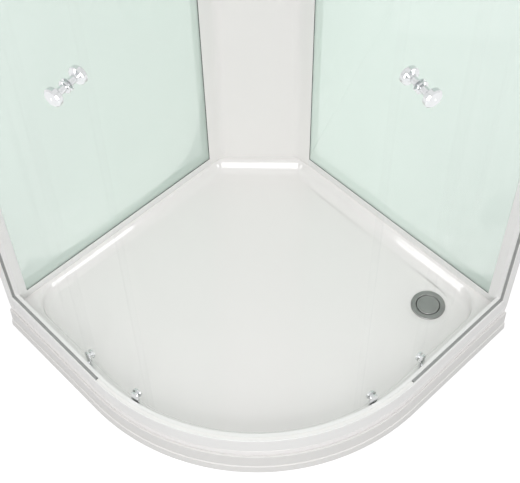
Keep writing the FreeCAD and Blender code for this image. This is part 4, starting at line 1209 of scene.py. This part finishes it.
class BuildFrontGlass(bpy.types.Operator):
    """Fixed panes, curved doors and the clear seals on their edges"""
    bl_idname = "shower.front_glass"
    bl_label = "Front glass"

    def execute(self, context):
        sizes = context.scene.enclosure_sizes
        glass, soft = finish("clear_glass"), finish("clear_seal")
        edge, wrap, grip = PANE_HIGH[0], 1.0, 8.0
        held = np.array([edge - grip - 0.2, PANE_HIGH[1], PANE_HIGH[2]])
        pair("pane", "fixed_pane", pane_shells(PANE_LOW, held), glass)
        pair("pane_bead", "glazing_strip", bead_shells(), finish("grey_rubber"))
        low, high = node_box("pane_seal_left")
        section = seal_section(edge - grip, edge + 3, PANE_HIGH[1] + wrap, PANE_LOW[1] - wrap, 1.5)
        reach = (0.0, high[1] - PANE_HIGH[1] - wrap)
        pair("pane_strip", "pane_seal", [finned(section, reach, low[2], high[2])], soft)
        outer = rail_radii(sizes)[3] - sizes.door_setback * METRE
        inner = outer - sizes.glass * METRE
        low, high = DOOR_LOW[2], DOOR_HIGH[2]
        profile = rounded([(inner, low), (outer, low), (outer, high), (inner, high)], 1.2, 3)
        path = arc_path(sizes, *DOOR_GLASS_TURN, sizes.arc_steps // 2)
        pair("door", "door_glass", [swept(profile, *path)], glass, DOORS)
        section = [(-grip, inner - wrap), (grip, inner - wrap), (grip, outer + wrap),
                   (-grip, outer + wrap)]
        plan = rounded(turned_plan(sizes, LEADING_SEAL_TURN, section), 1.4, 5)
        pair("door_magnet", "magnet_seal", [upright(plan, [low, high])], soft, DOORS)
        section = turned_plan(sizes, TRAILING_SEAL_TURN,
                              seal_section(4, -4, outer + wrap, inner - wrap, 1.8))
        fin = turned_plan(sizes, TRAILING_SEAL_TURN,
                          [(0, 0), (0, sizes.door_setback * METRE - 0.5)])
        pair("door_strip", "edge_seal", [finned(section, fin[1] - fin[0], low, high)], soft,
             DOORS)
        return {"FINISHED"}


# ------------------------------------------------------------------ waste
def waste_turned(corners, radii, closed=True):
    """Section of (radius, height) corners turned about the waste's upright axis."""
    section = rounded(corners, radii, steps=4, hold=0.15, closed=closed)
    return turned(section, (*WASTE_CENTRE, 0), closed=closed)


class BuildWaste(bpy.types.Operator):
    """Waste flange and cap"""
    bl_idname = "shower.waste"
    bl_label = "Waste"

    def execute(self, context):
        metal = finish("satin_waste")
        top, foot = WASTE_HIGH[2], WASTE_LOW[2]
        rim, bore, throat, neck, seat = 43.5, 30.2, 26.5, 33.5, top - 3.0
        ring = [(rim, seat), (rim, top - 1.5), (rim - 1.5, top), (bore + 1, top), (bore, top - 1),
                (bore, foot + 12), (throat, foot + 10), (throat, foot), (neck, foot), (neck, seat)]
        radii = [0.3, 0.9, 0.9, 0.6, 0.6, 0.3, 0.3, 0.5, 0.5, 0.3]
        piece("waste_ring", ROOT, [waste_turned(ring, radii)], metal, ["waste_flange"])
        low, high = node_box("waste_cap")
        edge, under, leg_radius = 28.4, top - 1.4, 25.2
        groove_floor, groove_out, groove_in = top + 0.55, 22.6, 21.8
        cap = [(0, under), (edge, under), (edge, top - 0.3), (edge - 1.2, top + 0.7),
               (groove_out + 0.4, top + 0.78), (groove_out, groove_floor),
               (groove_in, groove_floor), (groove_in - 0.4, top + 0.85), (0, high[2])]
        shells = [waste_turned(cap, [0, 0.4, 0.5, 0.5, 0.15, 0.15, 0.15, 0.15, 0], False)]
        leg = rounded([(-2, -3), (2, -3), (2, 3), (-2, 3)], 0.8, 3) + [leg_radius, 0.0]
        for turn in np.radians([0.0, 120.0, 240.0]):
            c, s = math.cos(turn), math.sin(turn)
            plan = leg @ np.array([[c, s], [-s, c]]) + WASTE_CENTRE
            shells.append(upright(plan, [low[2], under + 0.2]))
        piece("waste_cover", "cap", shells, metal, ["waste_cap"])
        return {"FINISHED"}


# ------------------------------------------------------------------ solids that keep their shape
CARRIED = {
    "chip_board": ["tray_board"],
    "frame_paint": ["tray_frame"],
    "zinc_steel": ["levelling_studs", "levelling_nuts", "frame_screws", "apron_brackets"],
    "black_plastic": ["foot_pads", "waste_strainer"],
    "glazing_rubber": ["waste_gasket", "door_stops"],
    "white_plastic": ["waste_body", "waste_pipe", "waste_nut"],
    "polished_chrome": ["door_knob_left", "door_knob_right", "roller_plates_left",
                        "roller_plates_right"],
}
WHEELS = [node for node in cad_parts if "wheel" in node]


class FinishSolids(bpy.types.Operator):
    """Gives the solids that keep their own shape their materials"""
    bl_idname = "shower.solids"
    bl_label = "Carried solids"

    def execute(self, context):
        for name, nodes in [*CARRIED.items(), ("white_plastic", WHEELS)]:
            for node in nodes:
                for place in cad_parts[node].material_slots:
                    place.material = finish(name)
        return {"FINISHED"}


# ------------------------------------------------------------------ stage
def seen_directly(nodes):
    """One for camera, mirror and glass rays, none for the rays that light the scene."""
    path = nodes.node("ShaderNodeLightPath").socket.node
    camera, mirror, glass = (Value(nodes, path.outputs[name]) for name in
                             ("Is Camera Ray", "Is Glossy Ray", "Is Transmission Ray"))
    return camera.math("MAXIMUM", camera.math("MAXIMUM", camera, mirror), glass)


def area_lamp(name, place, aim, wide, high, watts, lights=True, shines=True):
    """Soft lamp that looks from one point to another. It lights matt surfaces or not, and shines
    in glossy ones or not: one that only shines is a bright card for them to mirror."""
    lamp = bpy.data.lights.new(name, "AREA")
    lamp.shape = "RECTANGLE"
    lamp.size, lamp.size_y = wide, high
    lamp.energy = watts
    holder = bpy.data.objects.new(name, lamp)
    holder.visible_camera = False
    holder.visible_diffuse = lights
    holder.visible_glossy = shines
    bpy.context.scene.collection.objects.link(holder)
    way = Vector(aim) - Vector(place)
    holder.matrix_world = (Matrix.Translation(place)
                           @ way.to_track_quat("-Z", "Y").to_matrix().to_4x4())


def stage_floor(settings):
    """Wide level floor that also shows the camera some light of its own."""
    reach = 30.0
    corners = [(-reach, -reach, 0), (reach, -reach, 0), (reach, reach, 0), (-reach, reach, 0)]
    mesh = bpy.data.meshes.new("stage_floor")
    mesh.from_pydata(corners, [], [(0, 1, 2, 3)])
    floor = bpy.data.objects.new("stage_floor", mesh)
    bpy.context.scene.collection.objects.link(floor)
    ground = Finish("stage_floor", Base_Color=(settings.floor,) * 3, Roughness=0.9,
                    Specular_IOR_Level=0.1, Emission_Color=(1.0, 1.0, 1.0))
    ground.set(Emission_Strength=seen_directly(ground) * settings.floor_lift)
    mesh.materials.append(ground.material)


def stage_world(settings):
    """White surroundings that light the scene with the ambient share alone."""
    world = bpy.data.worlds.new("stage_world")
    bpy.context.scene.world = world
    sky = Nodes(world, "Background")
    sky.set(Color=(1.0, 1.0, 1.0),
            Strength=settings.ambient + (1.0 - settings.ambient) * seen_directly(sky))


def stage_lamps(settings):
    """Two lamps that light the enclosure, and three cards for its glossy surfaces to mirror."""
    key, front, card = settings.key_size, settings.front_size, settings.card_size
    area_lamp("overhead_lamp", settings.key_place, (0.0, 0.0, 0.1), key, key,
              settings.key_power, shines=False)
    area_lamp("front_lamp", settings.front_place, (0.0, 0.0, 0.7), front, front,
              settings.front_power)
    x, y, z = settings.card_place
    area_lamp("right_card", (x, y, z), (-0.42, -0.12, 0.1), card, card, settings.card_power,
              lights=False)
    area_lamp("left_card", (-y, -x, z), (0.12, 0.42, 0.1), card, card, settings.card_power,
              lights=False)
    area_lamp("front_card", settings.front_card_place, (-0.33, 0.33, 0.1),
              settings.front_card_wide, settings.front_card_high, settings.front_card_power,
              lights=False)


def stage_camera(settings):
    """Camera that looks down into the enclosure over its front curve."""
    camera = bpy.data.cameras.new("camera")
    camera.lens = settings.lens
    camera.sensor_width = 36.0
    camera.shift_x, camera.shift_y = settings.shift
    camera.clip_start = 0.05
    holder = bpy.data.objects.new("camera", camera)
    holder.location = settings.camera_place
    holder.rotation_euler = settings.camera_turn
    bpy.context.scene.collection.objects.link(holder)
    bpy.context.scene.camera = holder


class BuildStage(bpy.types.Operator):
    """Pale floor, soft lamps, white surroundings and the camera"""
    bl_idname = "shower.stage"
    bl_label = "Stage"

    def execute(self, context):
        settings = context.scene.stage_settings
        context.scene.view_settings.view_transform = "Standard"
        context.scene.cycles.transparent_max_bounces = 32
        for part in (stage_floor, stage_world, stage_lamps, stage_camera):
            part(settings)
        return {"FINISHED"}


OPERATORS = (BuildTray, BuildApron, BuildRails, BuildPosts, BuildRearWalls, BuildColumn,
             BuildFrontGlass, BuildWaste, FinishSolids, BuildStage)


class ShowerPanel(bpy.types.Panel):
    """Sidebar panel with the sizes, the finishes and a button for each group of pieces"""
    bl_idname = "VIEW3D_PT_shower"
    bl_label = "Quadrant Shower"
    bl_space_type = "VIEW_3D"
    bl_region_type = "UI"
    bl_category = "Shower"

    def draw(self, context):
        scene = context.scene
        for group in (scene.enclosure_sizes, scene.enclosure_finishes, scene.stage_settings):
            column = self.layout.column(align=True)
            for name in group.bl_rna.properties.keys():
                if name not in ("rna_type", "name"):
                    column.prop(group, name)
        for operator in OPERATORS:
            self.layout.operator(operator.bl_idname)


CLASSES = (EnclosureSizes, EnclosureFinishes, StageSettings) + OPERATORS + (ShowerPanel,)


def register():
    for item in CLASSES:
        bpy.utils.register_class(item)
    bpy.types.Scene.enclosure_sizes = PointerProperty(type=EnclosureSizes)
    bpy.types.Scene.enclosure_finishes = PointerProperty(type=EnclosureFinishes)
    bpy.types.Scene.stage_settings = PointerProperty(type=StageSettings)


def unregister():
    del bpy.types.Scene.enclosure_sizes
    del bpy.types.Scene.enclosure_finishes
    del bpy.types.Scene.stage_settings
    for item in reversed(CLASSES):
        bpy.utils.unregister_class(item)


def main():
    """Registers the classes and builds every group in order."""
    register()
    for operator in OPERATORS:
        group, name = operator.bl_idname.split(".")
        getattr(getattr(bpy.ops, group), name)()


if __name__ == "__main__":
    main()
